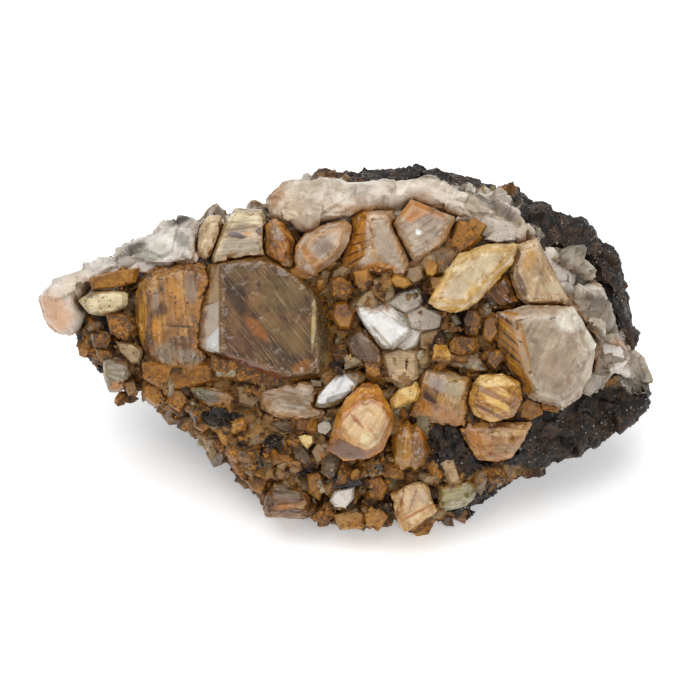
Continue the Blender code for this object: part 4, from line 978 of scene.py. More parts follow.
def crust_material(name, look):
    """Milky quartz: white, grey and pinkish grains, rust in its cracks and along its foot, dark specks."""
    shade = Shade(name)
    dark, middle, light = (tint(code) for code in look["tones"])
    clouds = shade.grain(1.8, 6.0, roughness=0.62, warp=0.5)
    tone = shade.attribute("tone") + (clouds - 0.5) * 0.9
    colour = shade.ramp(tone, (0.2, dark), (0.48, middle), (0.74, light))
    for u, v, half_u, half_v, degrees, code, strength in look["patches"]:
        spot = shade.patch(u, v, half_u, half_v, degrees, softness=0.5, ragged=0.5) * strength
        colour = shade.mix(spot, colour, tint(code))
    near = shade.attribute("contact")
    spread = shade.grain(1.6, 7.0, roughness=0.72, warp=0.8)
    rust = shade.mix(shade.grain(0.7, 4.0, roughness=0.7), tint("6d3e16"), tint("c08a4a"))
    foot = 1.0 - shade.step(near + (spread - 0.5) * 4.2, 0.0, 1.5)
    cracks = shade.attribute("crease") * shade.step(spread, 0.5, 0.62)
    colour = shade.mix(foot * 0.75, colour, rust)
    colour = shade.mix(cracks * 0.5, colour, rust)
    sparse = shade.step(shade.grain(3.2), 0.52, 0.62)
    specks = (1.0 - shade.step(shade.cells(0.7), 0.1, 0.24)) * sparse
    colour = shade.mix(specks * 0.8, colour, tint("2c2621"))
    normal = shade.bump(shade.grain(0.45, 5.0, roughness=0.6), 0.08, 0.6)
    rough = 0.2 + clouds * 0.2 + foot * 0.3
    return shade.finish(
        colour, rough, normal, Transmission_Weight=0.15, IOR=1.5, Subsurface_Weight=0.15,
        Subsurface_Radius=(0.002, 0.0018, 0.0015), Subsurface_Scale=0.5, Coat_Weight=0.1,
        Coat_Roughness=0.1,
    )


def crust_relief(place, _):
    """Broken quartz: broad flat grains, smaller ones on them, and creases between, calmer on smooth lobes.

    Gives its height, tone and creases.
    """
    calm = zone_share(SMOOTH_LOBES, place.x, place.y)
    broad, gap, key = broken_facet(place, size=4.4, tilt=0.8, lift=0.9)
    small, _, small_key = broken_facet(place + LEVEL_SHIFT, size=1.9, tilt=0.45, lift=0.16)
    crease = max(0.0, 1.0 - gap / 0.06)
    ripple = noise.noise(place / 0.6) * 0.05
    tone = noise.noise(key + TONE_SHIFT) * 0.8 + noise.noise(small_key + TONE_SHIFT) * 0.3
    liveliness = 1.0 - calm * 0.65
    tone = 0.5 + tone * liveliness + calm * 0.12
    height = (broad + small) * liveliness - crease * 0.12 * (1.0 - calm)
    return height + ripple - 0.1, tone, crease * (1.0 - calm * 0.7)


def dress_crust(node, look, voxel):
    """Makes the crust that stands for one solid."""
    obj = node_copy(node, node + "_stone")
    remesh(obj, voxel)
    soften(obj, repeats=30)
    neighbours = [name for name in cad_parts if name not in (node, "matrix")]
    contact = distances_to_solids(obj, neighbours, CONTACT_REACH)
    numbers = raise_surface(obj, crust_relief)
    keep_number(obj, "contact", contact)
    keep_number(obj, "tone", numbers[:, 0])
    keep_number(obj, "crease", numbers[:, 1])
    keep_above_ground(obj)
    smooth_shaded(obj, degrees=38)
    wear(obj, crust_material(node + "_look", look))
    ride(obj, "quartz", node)


# Matrix

# How far the rock rises at the foot of a crystal, and how far from it that starts, in millimetres.
FOOT_RISE = 1.0
FOOT_REACH = 1.5

# In w: where the back begins, which is all bare and black, and how deep the milky veils and the rusty
# crystals go.
BACK_LEVEL = -6.5
MILKY_LEVEL = -4.0
RUSTY_LEVEL = -2.5


def oval_reach(zone, u, v):
    """How far a place is from the middle of an oval zone, counted so that it is 1 on the zone's rim."""
    middle_u, middle_v, half_u, half_v = zone
    return math.hypot((u - middle_u) / half_u, (v - middle_v) / half_v)


def zone_share(zones, u, v):
    """How far inside the nearest of some oval zones a place is, from 0 outside to 1, with soft rims."""
    return max(min(1.0, max(0.0, (1.25 - oval_reach(zone, u, v)) / 0.5)) for zone in zones)


def black_share(u, v, w):
    """How bare and black the matrix is at a place, from 0 to 1."""
    return 1.0 if w < BACK_LEVEL else zone_share(BLACK_ZONES, u, v)


def matrix_relief(near):
    """The relief of the broken rock, which climbs the foot of each crystal.

    near is how far each point is from a crystal. The relief gives height, tone, place along the growth
    lines, creases, bareness and milkiness.
    """

    def relief(place, index):
        bare = black_share(*place)
        milky = zone_share(MILKY_ZONES, place.x, place.y) if place.z > MILKY_LEVEL else 0.0
        broad, gap, key = broken_facet(place, size=2.9, tilt=1.2, lift=1.0)
        small, small_gap, small_key = broken_facet(place + LEVEL_SHIFT, size=1.15, tilt=1.0, lift=0.4)
        crease = max(0.0, 1.0 - gap / 0.14) * 0.7 + max(0.0, 1.0 - small_gap / 0.16) * 0.5
        crease = min(crease, 1.0) * (1.0 - milky * 0.7)
        lines = noise.noise_vector(key + TONE_SHIFT)
        tone = 0.5 + noise.noise(key + TONE_SHIFT) * 0.8 + noise.noise(small_key + TONE_SHIFT) * 0.5
        height = broad * (1.0 - bare * 0.55) + small * (1.0 - max(milky, bare) * 0.5)
        height += noise.noise(place / 0.5) * (0.12 - bare * 0.05)
        height += FOOT_RISE * (1.0 - near[index] / FOOT_REACH) ** 2 * (1.0 - bare * 0.6)
        growth = place.dot(lines.normalized())
        return height - crease * 0.3 - 0.15, tone, growth, crease, bare, milky

    return relief


def matrix_material(settings):
    """Rusty intergrown crystals where it is stained, black granular rock where it is bare, and quartz."""
    shade = Shade("matrix_look")
    fine = shade.grain(0.45, 5.0, roughness=0.7)
    tone = shade.attribute("tone") + (shade.growth_lines(0.22) - 0.5) * 0.4 + (fine - 0.5) * 0.5
    brown = shade.ramp(
        tone,
        (0.1, tint("24160a")),
        (0.34, (*settings.rust_dark, 1.0)),
        (0.52, (*settings.rust_light, 1.0)),
        (0.66, tint("937040")),
        (0.82, tint("85765c")),
        (0.98, tint("ab9c7e")),
    )
    orange = shade.step(shade.grain(1.6, 6.0, roughness=0.7, warp=0.8), 0.55, 0.66) * 0.7
    brown = shade.mix(orange, brown, tint("a06618"))
    grit = shade.grain(0.45, 7.0, roughness=0.85)
    black = shade.ramp(
        grit,
        (0.35, tint("060607")),
        (0.5, tint("151413")),
        (0.6, tint("29231e")),
        (0.67, tint("564e44")),
        (0.75, tint("91897c")),
    )
    islands = shade.step(shade.grain(2.6, 7.0, roughness=0.75, warp=0.8), 0.46, 0.58) * 0.7
    earth = shade.mix(shade.step(grit, 0.4, 0.62), tint("1d130a"), tint("6b4725"))
    black = shade.mix(islands, black, earth)
    bareness = shade.attribute("bare") + (shade.grain(1.2, 5.0, roughness=0.7) - 0.5) * 1.1
    bare = shade.step(bareness, 0.35, 0.6)
    colour = shade.mix(bare, brown, black)
    veil = shade.attribute("milky") + (shade.grain(1.5, 7.0, roughness=0.75, warp=0.6) - 0.5) * 2.2
    quartz = shade.mix(shade.step(tone, 0.2, 0.8), tint("8a7d6c"), tint("cdc4b7"))
    colour = shade.mix(shade.step(veil, 0.45, 0.85), colour, quartz)
    # Painted shade: the creases between the rock's broken cells are darkened to near black.
    colour = shade.mix(shade.attribute("crease") * (0.6 + bare * 0.2), colour, tint("1c1008"))
    glint = (1.0 - shade.step(shade.cells(0.4), 0.1, 0.3)) * bare
    rough = 0.5 + (fine - 0.5) * 0.3 - glint * 0.32
    normal = shade.bump(shade.grain(0.28, 5.0, roughness=0.75), 0.16, 0.9)
    normal = shade.bump(shade.cells(0.45), 0.1, 0.6, normal)
    return shade.finish(colour, rough, normal, Specular_IOR_Level=0.35)


# Small crystals

# Crystals that have grown into the matrix at set places: kind, tone from dark to light, w, the slope of the
# front facet along u and along v, and the outline in u and v.
SET_CRYSTALS = [
    ("amber", 0.35, 8.0, (0.0, 0.2), [(-9.4, 12.0), (-7.8, 12.6), (-5.2, 11.8), (-4.4, 11.2),
        (-6.2, 10.5), (-8.4, 10.9)]),
    ("amber", 0.8, 9.6, (0.0, -0.2), [(6.2, -7.4), (6.4, -8.8), (9.9, -7.5), (10.4, -6.2), (9.8, -4.9),
        (7.4, -5.9)]),
    ("amber", 0.45, 5.6, (0.1, -0.1), [(25.7, -8.0), (26.6, -7.2), (28.6, -7.9), (28.8, -9.5),
        (27.0, -10.4), (25.2, -10.2)]),
    ("amber", 0.5, 10.0, (0.0, 0.0), [(11.2, 12.4), (11.6, 13.6), (12.4, 13.8), (13.1, 12.8),
        (13.1, 11.6), (12.4, 11.0), (11.5, 11.3)]),
    ("amber", 0.5, 10.0, (0.0, 0.0), [(6.0, 10.5), (6.8, 11.3), (8.6, 10.7), (9.2, 9.9), (8.2, 9.3),
        (6.8, 9.6)]),
    ("rusty", 0.6, 7.6, (0.1, 0.0), [(14.4, 15.0), (15.6, 17.6), (16.4, 19.6), (17.4, 19.4),
        (19.6, 16.8), (18.2, 15.6), (16.4, 14.4)]),
    ("glassy", 0.75, 7.4, (0.0, -0.2), [(20.2, 16.6), (21.8, 18.1), (24.5, 17.3), (24.6, 16.5),
        (22.2, 16.1)]),
    ("glassy", 0.6, 8.2, (-0.1, -0.2), [(5.6, 7.0), (7.4, 8.6), (10.2, 9.4), (11.0, 7.9), (10.4, 6.4),
        (8.2, 5.4)]),
    ("milky", 0.2, 7.8, (0.0, -0.1), [(8.2, 5.8), (10.8, 6.6), (14.2, 5.2), (13.8, 3.2), (11.0, 2.7),
        (8.8, 3.2)]),
    ("glassy", 0.8, 8.2, (0.1, -0.1), [(7.4, 2.6), (8.8, 3.4), (10.8, 2.8), (9.9, 0.7), (8.0, -0.3),
        (6.4, 0.8)]),
    ("taupe", 0.62, 8.6, (0.0, 0.1), [(3.4, 10.2), (5.0, 10.9), (6.6, 10.0), (6.6, 7.9), (5.2, 7.0),
        (3.8, 8.0)]),
    ("taupe", 0.85, 8.4, (0.1, 0.1), [(0.6, 6.6), (2.4, 8.9), (3.6, 9.2), (4.2, 7.2), (3.0, 6.2)]),
    ("taupe", 0.6, 8.2, (0.1, 0.0), [(10.4, 2.4), (13.4, 3.0), (14.2, 1.0), (13.0, -0.6), (10.4, 0.2)]),
    ("rusty", 0.3, 9.0, (0.1, -0.1), [(17.6, 6.2), (19.2, 6.0), (19.7, 4.4), (19.0, 2.4), (17.4, 2.5),
        (16.9, 4.6)]),
    ("rusty", 0.25, 8.4, (0.0, 0.1), [(14.6, 0.9), (15.6, 2.2), (18.9, 1.9), (19.0, 0.0), (16.4, -0.9),
        (14.8, -0.4)]),
    ("taupe", 0.3, 6.6, (0.0, 0.4), [(-12.2, -11.0), (-11.0, -10.6), (-8.0, -11.1), (-6.4, -11.0),
        (-7.2, -12.3), (-10.0, -12.4)]),
    ("taupe", 0.35, 6.6, (0.1, -0.1), [(-8.8, -14.4), (-7.6, -13.8), (-6.3, -15.4), (-5.8, -16.5),
        (-6.6, -17.3), (-8.3, -16.4)]),
    ("taupe", 0.6, 6.8, (-0.1, -0.1), [(-5.8, -15.2), (-4.8, -13.8), (-3.7, -14.6), (-3.9, -16.4),
        (-4.9, -17.2)]),
    ("amber", 0.97, 7.4, (0.1, -0.2), [(-7.9, -12.9), (-6.8, -12.6), (-5.6, -12.9), (-5.5, -13.8),
        (-6.4, -14.8), (-7.5, -13.8)]),
    ("glassy", 0.6, 7.2, (0.0, -0.2), [(-5.0, -11.2), (-3.9, -10.5), (-3.0, -10.7), (-2.6, -11.8),
        (-3.6, -12.8), (-4.9, -12.4)]),
    ("glassy", 0.95, 6.6, (0.2, -0.3), [(-2.9, -22.5), (-2.2, -21.2), (-0.6, -21.1), (0.5, -20.6),
        (0.4, -22.3), (-0.7, -23.5), (-2.2, -23.4)]),
    ("rusty", 0.75, 5.4, (0.1, -0.1), [(-20.2, -11.8), (-19.0, -11.6), (-17.0, -12.6), (-17.1, -14.0),
        (-18.2, -14.7), (-19.2, -13.9)]),
    ("taupe", 0.65, 5.2, (-0.1, -0.15), [(-35.0, 1.2), (-32.6, 0.9), (-31.2, -0.2), (-31.5, -1.8),
        (-32.8, -1.8), (-34.2, -0.4)]),
    ("rusty", 0.2, 7.8, (0.0, 0.3), [(-20.2, -1.0), (-15.0, -1.6), (-11.0, -4.4), (-8.5, -4.6),
        (-9.0, -5.6), (-12.0, -6.0), (-17.0, -4.6), (-20.5, -3.0)]),
    ("rusty", 0.5, 6.2, (0.0, 0.2), [(-30.6, -2.0), (-26.0, -3.0), (-20.5, -2.2), (-20.0, -4.5),
        (-24.0, -5.6), (-28.0, -5.8), (-30.6, -4.2)]),
    ("taupe", 0.5, 6.8, (0.1, 0.0), [(-17.0, -5.4), (-13.8, -5.0), (-13.0, -7.0), (-14.5, -8.6),
        (-16.8, -8.0)]),
    ("rusty", 0.4, 4.8, (0.1, -0.1), [(-13.0, -16.5), (-11.0, -15.8), (-9.4, -17.0), (-10.0, -19.0),
        (-12.4, -18.8)]),
    ("rusty", 0.5, 4.0, (-0.1, -0.1), [(-18.2, -16.0), (-16.4, -14.9), (-14.6, -15.8), (-15.0, -17.8),
        (-17.0, -18.2)]),
    ("rusty", 0.4, 3.2, (0.1, -0.1), [(-15.6, -19.6), (-13.6, -18.4), (-12.2, -19.4), (-13.2, -21.6),
        (-14.6, -21.0)]),
    ("rusty", 0.8, 3.6, (0.0, -0.2), [(-2.4, -24.6), (0.4, -23.9), (2.2, -24.6), (1.8, -26.6),
        (-1.4, -26.9)]),
    ("rusty", 0.72, 4.2, (0.1, -0.2), [(1.8, -23.4), (4.6, -23.2), (5.6, -24.8), (4.6, -26.6),
        (2.4, -26.2)]),
    ("taupe", 0.0, 5.6, (0.0, -0.1), [(-4.2, -19.8), (-2.2, -18.4), (1.6, -18.9), (2.4, -20.3),
        (-0.4, -20.7), (-3.0, -21.0)]),
    ("rusty", 0.45, 5.4, (0.1, -0.1), [(2.4, -19.4), (4.6, -18.8), (5.8, -20.4), (4.8, -22.4),
        (2.8, -22.0)]),
    ("rusty", 0.55, 5.0, (-0.1, 0.0), [(-6.4, -18.8), (-4.6, -18.2), (-3.8, -20.2), (-4.6, -22.4),
        (-6.2, -21.2)]),
    ("taupe", 0.72, 8.8, (0.1, -0.2), [(4.8, -0.4), (7.2, 0.4), (10.0, -0.4), (10.0, -4.0), (8.0, -5.4),
        (5.8, -4.4)]),
    ("rusty", 0.35, 9.2, (0.2, 0.0), [(-3.0, 10.6), (-1.0, 11.0), (0.4, 9.2), (-0.6, 7.4), (-2.6, 8.0)]),
    ("amber", 0.25, 9.4, (0.1, -0.1), [(-2.2, 7.0), (-0.6, 7.2), (0.6, 5.4), (0.0, 3.2), (-1.6, 3.4),
        (-2.6, 5.0)]),
    ("rusty", 0.6, 9.2, (0.0, 0.1), [(0.6, 11.6), (2.6, 12.0), (3.4, 10.4), (2.2, 9.2), (0.8, 9.8)]),
    ("amber", 0.2, 8.8, (-0.1, 0.0), [(20.2, 4.8), (21.6, 5.2), (22.2, 2.6), (21.0, 0.9), (19.9, 2.0)]),
    ("rusty", 0.3, 8.8, (0.1, -0.1), [(20.6, -0.2), (22.8, 0.0), (23.2, -1.0), (21.8, -3.0), (20.6, -2.0)]),
    ("amber", 0.4, 9.2, (0.0, -0.2), [(11.9, 11.0), (14.2, 11.0), (13.8, 9.6), (12.3, 9.0)]),
    ("taupe", 0.5, 9.2, (-0.1, 0.1), [(8.8, 12.2), (10.6, 12.8), (11.1, 10.8), (9.6, 9.9), (8.4, 10.8)]),
    ("taupe", 0.45, 9.2, (0.1, 0.0), [(11.4, 14.6), (14.0, 15.4), (16.0, 14.2), (14.4, 11.4), (13.0, 11.4)]),
    ("amber", 0.45, 7.2, (0.0, 0.1), [(17.0, 18.8), (18.6, 19.8), (20.4, 18.6), (19.6, 17.0), (17.6, 16.9)]),
    ("glassy", 0.5, 5.2, (0.0, -0.1), [(34.6, -4.9), (36.0, -3.5), (38.8, -3.7), (38.0, -5.2),
        (36.0, -6.8), (34.9, -6.4)]),
    ("rusty", 0.5, 6.0, (0.0, -0.1), [(28.6, -7.5), (29.5, -7.0), (31.9, -8.1), (31.0, -9.3), (28.7, -8.9)]),
    ("rusty", 0.15, 3.2, (0.0, -0.1), [(-38.8, 2.4), (-37.0, 2.6), (-35.6, 1.4), (-36.4, 0.2),
        (-38.4, 0.6)]),
    ("rusty", 0.3, 2.6, (0.1, -0.1), [(-38.2, 0.2), (-36.4, 0.0), (-35.4, -0.9), (-37.0, -1.6)]),
    ("taupe", 0.5, 2.8, (0.1, 0.0), [(-34.0, -4.9), (-32.4, -4.6), (-31.8, -6.2), (-33.2, -6.8)]),
    ("rusty", 0.55, 3.8, (0.1, -0.1), [(-31.0, -5.2), (-28.6, -5.2), (-27.8, -7.2), (-29.2, -8.3),
        (-30.6, -7.2)]),
    ("rusty", 0.6, 4.6, (-0.1, -0.1), [(-27.4, -6.0), (-25.0, -5.8), (-24.2, -7.6), (-25.6, -9.2),
        (-27.2, -8.2)]),
    ("rusty", 0.5, 3.8, (0.0, -0.1), [(-23.6, -9.8), (-21.4, -9.6), (-20.6, -11.4), (-22.0, -12.3),
        (-23.4, -11.4)]),
    ("rusty", 0.2, 5.4, (0.1, -0.1), [(-36.4, 5.2), (-33.6, 5.4), (-32.2, 3.4), (-33.6, 1.6), (-35.8, 2.6)]),
    ("rusty", 0.6, 4.4, (0.0, 0.2), [(-38.8, 10.8), (-35.0, 11.8), (-31.8, 12.2), (-32.4, 10.2),
        (-35.0, 9.4), (-38.4, 9.2)]),
]

# Milky pieces that fill the gaps between the large crystals and the crusts: outline in u and v.
FILLING_PIECES = [
    [(27.0, 15.6), (30.6, 15.0), (33.6, 11.4), (33.2, 7.6), (30.4, 6.8), (29.6, 11.0)],
    [(37.4, 1.8), (40.4, 1.4), (41.6, -1.6), (40.2, -3.4), (38.2, -2.6)],
    [(18.4, 17.6), (20.4, 20.0), (24.2, 18.9), (25.4, 16.9), (22.0, 16.1)],
    [(27.4, 6.6), (30.4, 9.0), (33.6, 7.8), (33.0, 5.8), (28.6, 4.8)],
    [(2.6, 19.4), (4.4, 21.8), (8.2, 21.4), (7.0, 19.0)],
    [(-4.6, 19.0), (-2.0, 21.6), (1.4, 21.2), (0.6, 18.6), (-2.0, 17.6)],
    [(-33.6, 11.8), (-31.4, 14.2), (-27.0, 14.6), (-26.4, 12.2), (-30.0, 11.4)],
    [(-26.8, 12.2), (-24.6, 14.4), (-21.6, 14.8), (-20.6, 12.6), (-23.0, 11.8)],
]

# How these pieces are made from their outlines. The rim is the outline grown by SET_GROWTH, and the front
# facet and the root are the rim drawn in to SET_FACE_SHARE and SET_ROOT_SHARE. The front is SET_PROUD above
# w, the rim about SET_STAND below the front, and the root SET_ROOT below w. The w of a filling piece is
# FILLING_RISE above the ground under it.
SET_GROWTH = 1.1
SET_FACE_SHARE = 0.78
SET_ROOT_SHARE = 0.9
SET_STAND = 1.0
SET_PROUD = 0.5
SET_ROOT = 4.5
FILLING_RISE = 0.3

# Below w by this share of SET_ROOT, a piece has its foot, darkened as painted shade.
SET_FOOT_SHARE = 0.8

# On ground that turns away from the face, where w of its normal is under RIM_SLOPE, the small crystals have
# RIM_SHRINK of their size.
RIM_SLOPE = 0.45
RIM_SHRINK = 0.5

# No small rusty crystals grow right of the first, in u, or nearer to the top edge than the second, in v.
RUSTY_RIGHT = 27
TOP_MARGIN = 3.5

# Small crystals lie at random between the set ones, the middling ones first: how clear they are of larger
# pieces, their smallest and largest sizes, how deep they are sunk and where their foot with its painted
# shade ends, as shares of the size, how far they are bevelled, and the middle and spread of their tones.
SMALL_CRYSTAL_SEED = 5
MIDDLING_CLEARANCE = 0.75
MIDDLING_SIZES = (0.7, 1.8)
SMALL_CLEARANCE = 0.12
SMALL_SIZES = (0.28, 0.62)
SMALL_SUNK = 0.4
SMALL_FOOT = 0.2
SMALL_BEVEL = 0.07
SMALL_TONE = (0.42, 0.17)

# How many places are tried for each small piece that is wanted.
TRIES_PER_PLACE = 40

# The hollow below the twin crystal, where black needles stand, as a zone like those above.
CAVITY = (14.6, -13.0, 3.0, 2.4)

# How many black grains the back has, as a share of what the bare rock in front has.
BACK_GRAIN_SHARE = 0.35

# Smallest and largest sizes of the grains and crumbs, widths and heights of the needles, how clear of the
# large crystals and the crusts they are, and how deep the grains are sunk, as a share of their size.
GRAIN_SEED = 9
GRAIN_SIZES = (0.12, 0.3)
GRAIN_CLEARANCE = 0.15
GRAIN_SUNK = 0.35
NEEDLE_WIDTHS = (0.25, 0.45)
NEEDLE_HEIGHTS = (1.2, 2.4)
NEEDLE_CLEARANCE = 0.1
NEEDLE_TONE = 0.2
CRUMB_SIZES = (0.14, 0.4)
CRUMB_CLEARANCE = 0.05

# The kinds of small crystal: slot, roughness, how see-through and stained they are, and tones from dark to
# light.
KINDS = {
    "rusty": dict(
        slot="rusty", rough=0.34, clear=0.0, stain=0.5,
        tones=("221508", "4c2f11", "7e5019", "ab762a", "b08c52"),
    ),
    "taupe": dict(
        slot="brown", rough=0.24, clear=0.05, stain=0.32,
        tones=("2b2016", "55412c", "7f6544", "a18562", "c3a679"),
    ),
    "amber": dict(
        slot="amber", rough=0.2, clear=0.15, stain=0.36,
        tones=("55300a", "855313", "a9731f", "c6953f", "dcc07e"),
    ),
    "milky": dict(
        slot="quartz", rough=0.26, clear=0.1, stain=0.24,
        tones=("948778", "b3a594", "cabeb1", "dcd4ca", "eae5df"),
    ),
    "glassy": dict(
        slot="pale", rough=0.16, clear=0.25, stain=0.2,
        tones=("4e463a", "796e5e", "9f9280", "c2b5a4", "e4dbd0"),
    ),
}

# The middle of the face, where the larger pieces leave little room for small ones.
MIDDLE_ZONE = [(9.0, 3.0, 13.0, 10.0)]

# Where each kind of small crystal is common: u and v of the middle, half width and height, and the share
# of each kind. The first zone that holds a place counts.
KIND_ZONES = [
    ((10.0, 3.0, 15.0, 12.0), {"rusty": 4, "taupe": 2.4, "amber": 3, "glassy": 1.6}),
    ((-14.0, -14.0, 22.0, 12.0), {"rusty": 6, "taupe": 3.4, "amber": 0.4, "glassy": 0.3}),
    ((0.0, 0.0, 60.0, 60.0), {"rusty": 6, "taupe": 2, "amber": 1.4, "glassy": 0.4}),
]


def kind_at(dice, u, v):
    """A kind of small crystal that is common at a place."""
    for zone, shares in KIND_ZONES:
        if oval_reach(zone, u, v) < 1:
            return dice.choices(list(shares), list(shares.values()))[0]
    raise ValueError("no zone of small crystals holds %.1f, %.1f" % (u, v))


def random_way(dice, spread=1.0):
    """A random direction of the face frame, where spread is how much it may leave the face's plane."""
    return Vector((dice.gauss(0, 1), dice.gauss(0, 1), dice.gauss(0, spread))).normalized()


def random_size(dice, smallest, largest):
    """A size between two limits. Each doubling of the size is equally likely."""
    return smallest * (largest / smallest) ** dice.random()


def growing_axes(dice, up, slant):
    """The way that a crystal grows, which leans at random from up, and two ways across it."""
    lean = random_way(dice)
    rise = (up + lean * slant).normalized()
    side = rise.cross(lean).normalized()
    return rise, side, rise.cross(side)


def hull(points):
    """The corners and flat faces of the convex solid round some points."""
    form = bmesh.new()
    for point in points:
        form.verts.new(point)
    bmesh.ops.convex_hull(form, input=form.verts)
    loose = [vert for vert in form.verts if not vert.link_faces]
    bmesh.ops.delete(form, geom=loose, context="VERTS")
    flat = math.radians(5)
    bmesh.ops.dissolve_limit(form, angle_limit=flat, verts=form.verts, edges=form.edges)
    form.verts.index_update()
    corners = [vert.co.copy() for vert in form.verts]
    faces = [[vert.index for vert in face.verts] for face in form.faces]
    form.free()
    return corners, faces


class Heap:
    """Many small crystals in one mesh, placed in the face frame.

    Each point keeps its crystal's tone, its place along the growth lines, and 1 at the crystal's foot or 0
    at its top.
    """

    def __init__(self):
        self.points = []
        self.faces = []
        self.tones = []
        self.strata = []
        self.feet = []

    def add(self, corners, faces, tone, lines, foot_level, up):
        """Adds one crystal. lines is across its growth lines, and its foot is below a level along up."""
        start = len(self.points)
        self.points += corners
        self.faces += [[start + i for i in face] for face in faces]
        self.tones += [tone] * len(corners)
        self.strata += [corner.dot(lines) for corner in corners]
        self.feet += [1.0 if corner.dot(up) < foot_level else 0.0 for corner in corners]

    def build(self, name, bevel=0.0):
        mesh = bpy.data.meshes.new(name)
        mesh.from_pydata([face_point(*point) for point in self.points], [], self.faces)
        obj = link(name, mesh)
        for key, values in (("tone", self.tones), ("strata", self.strata), ("foot", self.feet)):
            keep_number(obj, key, values)
        if bevel:
            modifier = obj.modifiers.new("bevel", "BEVEL")
            modifier.width = bevel * MM
            modifier.segments = 1
            modifier.limit_method = "ANGLE"
            modifier.angle_limit = math.radians(20)
            settle(obj)
        keep_above_ground(obj)
        return obj


def middle_of(outline):
    return sum(u for u, _ in outline) / len(outline), sum(v for _, v in outline) / len(outline)


def drawn_in(outline, share):
    """An outline drawn in towards its middle, or out from it where share is over 1."""
    u_middle, v_middle = middle_of(outline)
    return [(u_middle + (u - u_middle) * share, v_middle + (v - v_middle) * share) for u, v in outline]


def set_crystal_corners(dice, w, slope, outline):
    """The corners of a crystal at a set place: front facet, rim and root."""
    rim = drawn_in(outline, SET_GROWTH)
    face = drawn_in(rim, SET_FACE_SHARE)
    u_middle, v_middle = middle_of(outline)

    def height(u, v):
        return w + SET_PROUD + slope[0] * (u - u_middle) + slope[1] * (v - v_middle)

    corners = [Vector((u, v, height(u, v))) for u, v in face]
    corners += [Vector((u, v, height(u, v) - SET_STAND * dice.uniform(0.6, 1.3))) for u, v in rim]
    corners += [Vector((u, v, w - SET_ROOT)) for u, v in drawn_in(rim, SET_ROOT_SHARE)]
    return corners


def ground_level(tree, u, v):
    """How far out of the face plane the surface of a search tree lies at a place, in millimetres."""
    above = 40.0
    hit = tree.ray_cast(face_point(u, v, above), -FACE_OUT)[0]
    return (hit - face_point(u, v, 0.0)).dot(FACE_OUT) / MM if hit else 0.0


def broken_block(dice, place, up, long, wide, tall):
    """The corners of an irregular block crystal that grows out of the rock at a place.

    They are three uneven rings, the foot, the waist and the top, each at a height and with a share of the
    width.
    """
    rise, side, front = growing_axes(dice, up, 0.6)
    corners = []
    for height, share in ((-1.0, 0.9), (0.1, 1.0), (0.72, 0.5)):
        for a, b in ((-1, -1), (1, -1), (1, 1), (-1, 1)):
            along = side * a * long * share * dice.uniform(0.5, 1.2)
            across = front * b * wide * share * dice.uniform(0.5, 1.2)
            corners.append(place + along + across + rise * tall * height * dice.uniform(0.7, 1.3))
    return corners


def small_crystal_material(name, kind):
    """Small crystals whose tone differs from one to the next, rusty in places, with painted shade at the
    foot.
    """
    shade = Shade(name)
    lines = shade.growth_lines(0.2)
    clouds = (shade.grain(1.2, 5.0, roughness=0.65) - 0.5) * 0.7
    clouds += (shade.grain(2.6, 4.0, warp=0.8) - 0.5) * 0.7
    tone = shade.attribute("tone") + clouds + (lines - 0.5) * 0.35
    codes = kind["tones"]
    stops = [(0.04 + 0.92 * i / (len(codes) - 1), tint(code)) for i, code in enumerate(codes)]
    colour = shade.ramp(tone, *stops)
    foot = shade.attribute("foot")
    level = 0.66 - kind["stain"] * 0.3
    cover = shade.grain(4.0, 8.0, roughness=0.68, warp=0.8) * 0.5
    cover += shade.grain(0.9, 6.0, roughness=0.7) * 0.5
    stain = shade.step(cover + foot * 0.12, level - 0.05, level + 0.05)
    mottle = shade.step(shade.grain(0.5, 4.0, roughness=0.7), 0.35, 0.65)
    rust = shade.mix(mottle, tint("41260d"), tint("b4761c"))
    colour = shade.mix(stain * 0.85, colour, rust)
    specks = 1.0 - shade.step(shade.cells(0.6) + (shade.grain(2.4) - 0.5) * 0.7, 0.1, 0.22)
    colour = shade.mix(specks * 0.7, colour, tint("1a1009"))
    # Painted shade: the foot of each small crystal, where it sinks into the rock, is darkened to a deep
    # brown.
    deep = shade.step(foot + (shade.grain(0.8, 4.0) - 0.5) * 0.6, 0.45, 1.0)
    colour = shade.mix(deep * 0.6, colour, tint("38220f"))
    rough = kind["rough"] + stain * 0.3 + (shade.grain(0.5) - 0.5) * 0.15
    normal = shade.bump(lines, 0.06, 0.8, shade.bump(shade.grain(0.3, 5.0, roughness=0.7), 0.06, 0.7))
    return shade.finish(
        colour, rough, normal, Transmission_Weight=kind["clear"], IOR=1.6, Specular_IOR_Level=0.3,
        Coat_Weight=0.05, Coat_Roughness=0.05,
    )


def scatter_places(rock, keep_off, dice, count, chooses, clearance):
    """Places on the rock and the way out of it, in the face frame.

    They are chosen at random, where chooses says so and nothing in the search tree is nearer than the
    clearance.
    """
    points, normals = mesh_arrays(rock)
    places = face_places(points)
    found = []
    tries = 0
    while len(found) < count and tries < count * TRIES_PER_PLACE:
        tries += 1
        index = dice.randrange(len(points))
        if dice.random() > chooses(*places[index]):
            continue
        if distances_to(keep_off, [Vector(points[index])], clearance * 2)[0] < clearance:
            continue
        normal = Vector(normals[index])
        up = Vector((normal.x, normal.dot(FACE_UP), normal.dot(FACE_OUT)))
        found.append((Vector(places[index]), up))
    return found


def rusty_ground(u, v, w):
    """How likely small rusty crystals are at a place: not on bare rock, quartz, the top edge or the back."""
    if w < RUSTY_LEVEL or u > RUSTY_RIGHT or v > np.interp(u, *TOP_EDGE) - TOP_MARGIN:
        return 0.0
    room = 1.0 - zone_share(MIDDLE_ZONE, u, v) * 0.7
    return room * (1.0 - black_share(u, v, w)) * (1.0 - zone_share(MILKY_ZONES, u, v) * 0.8)


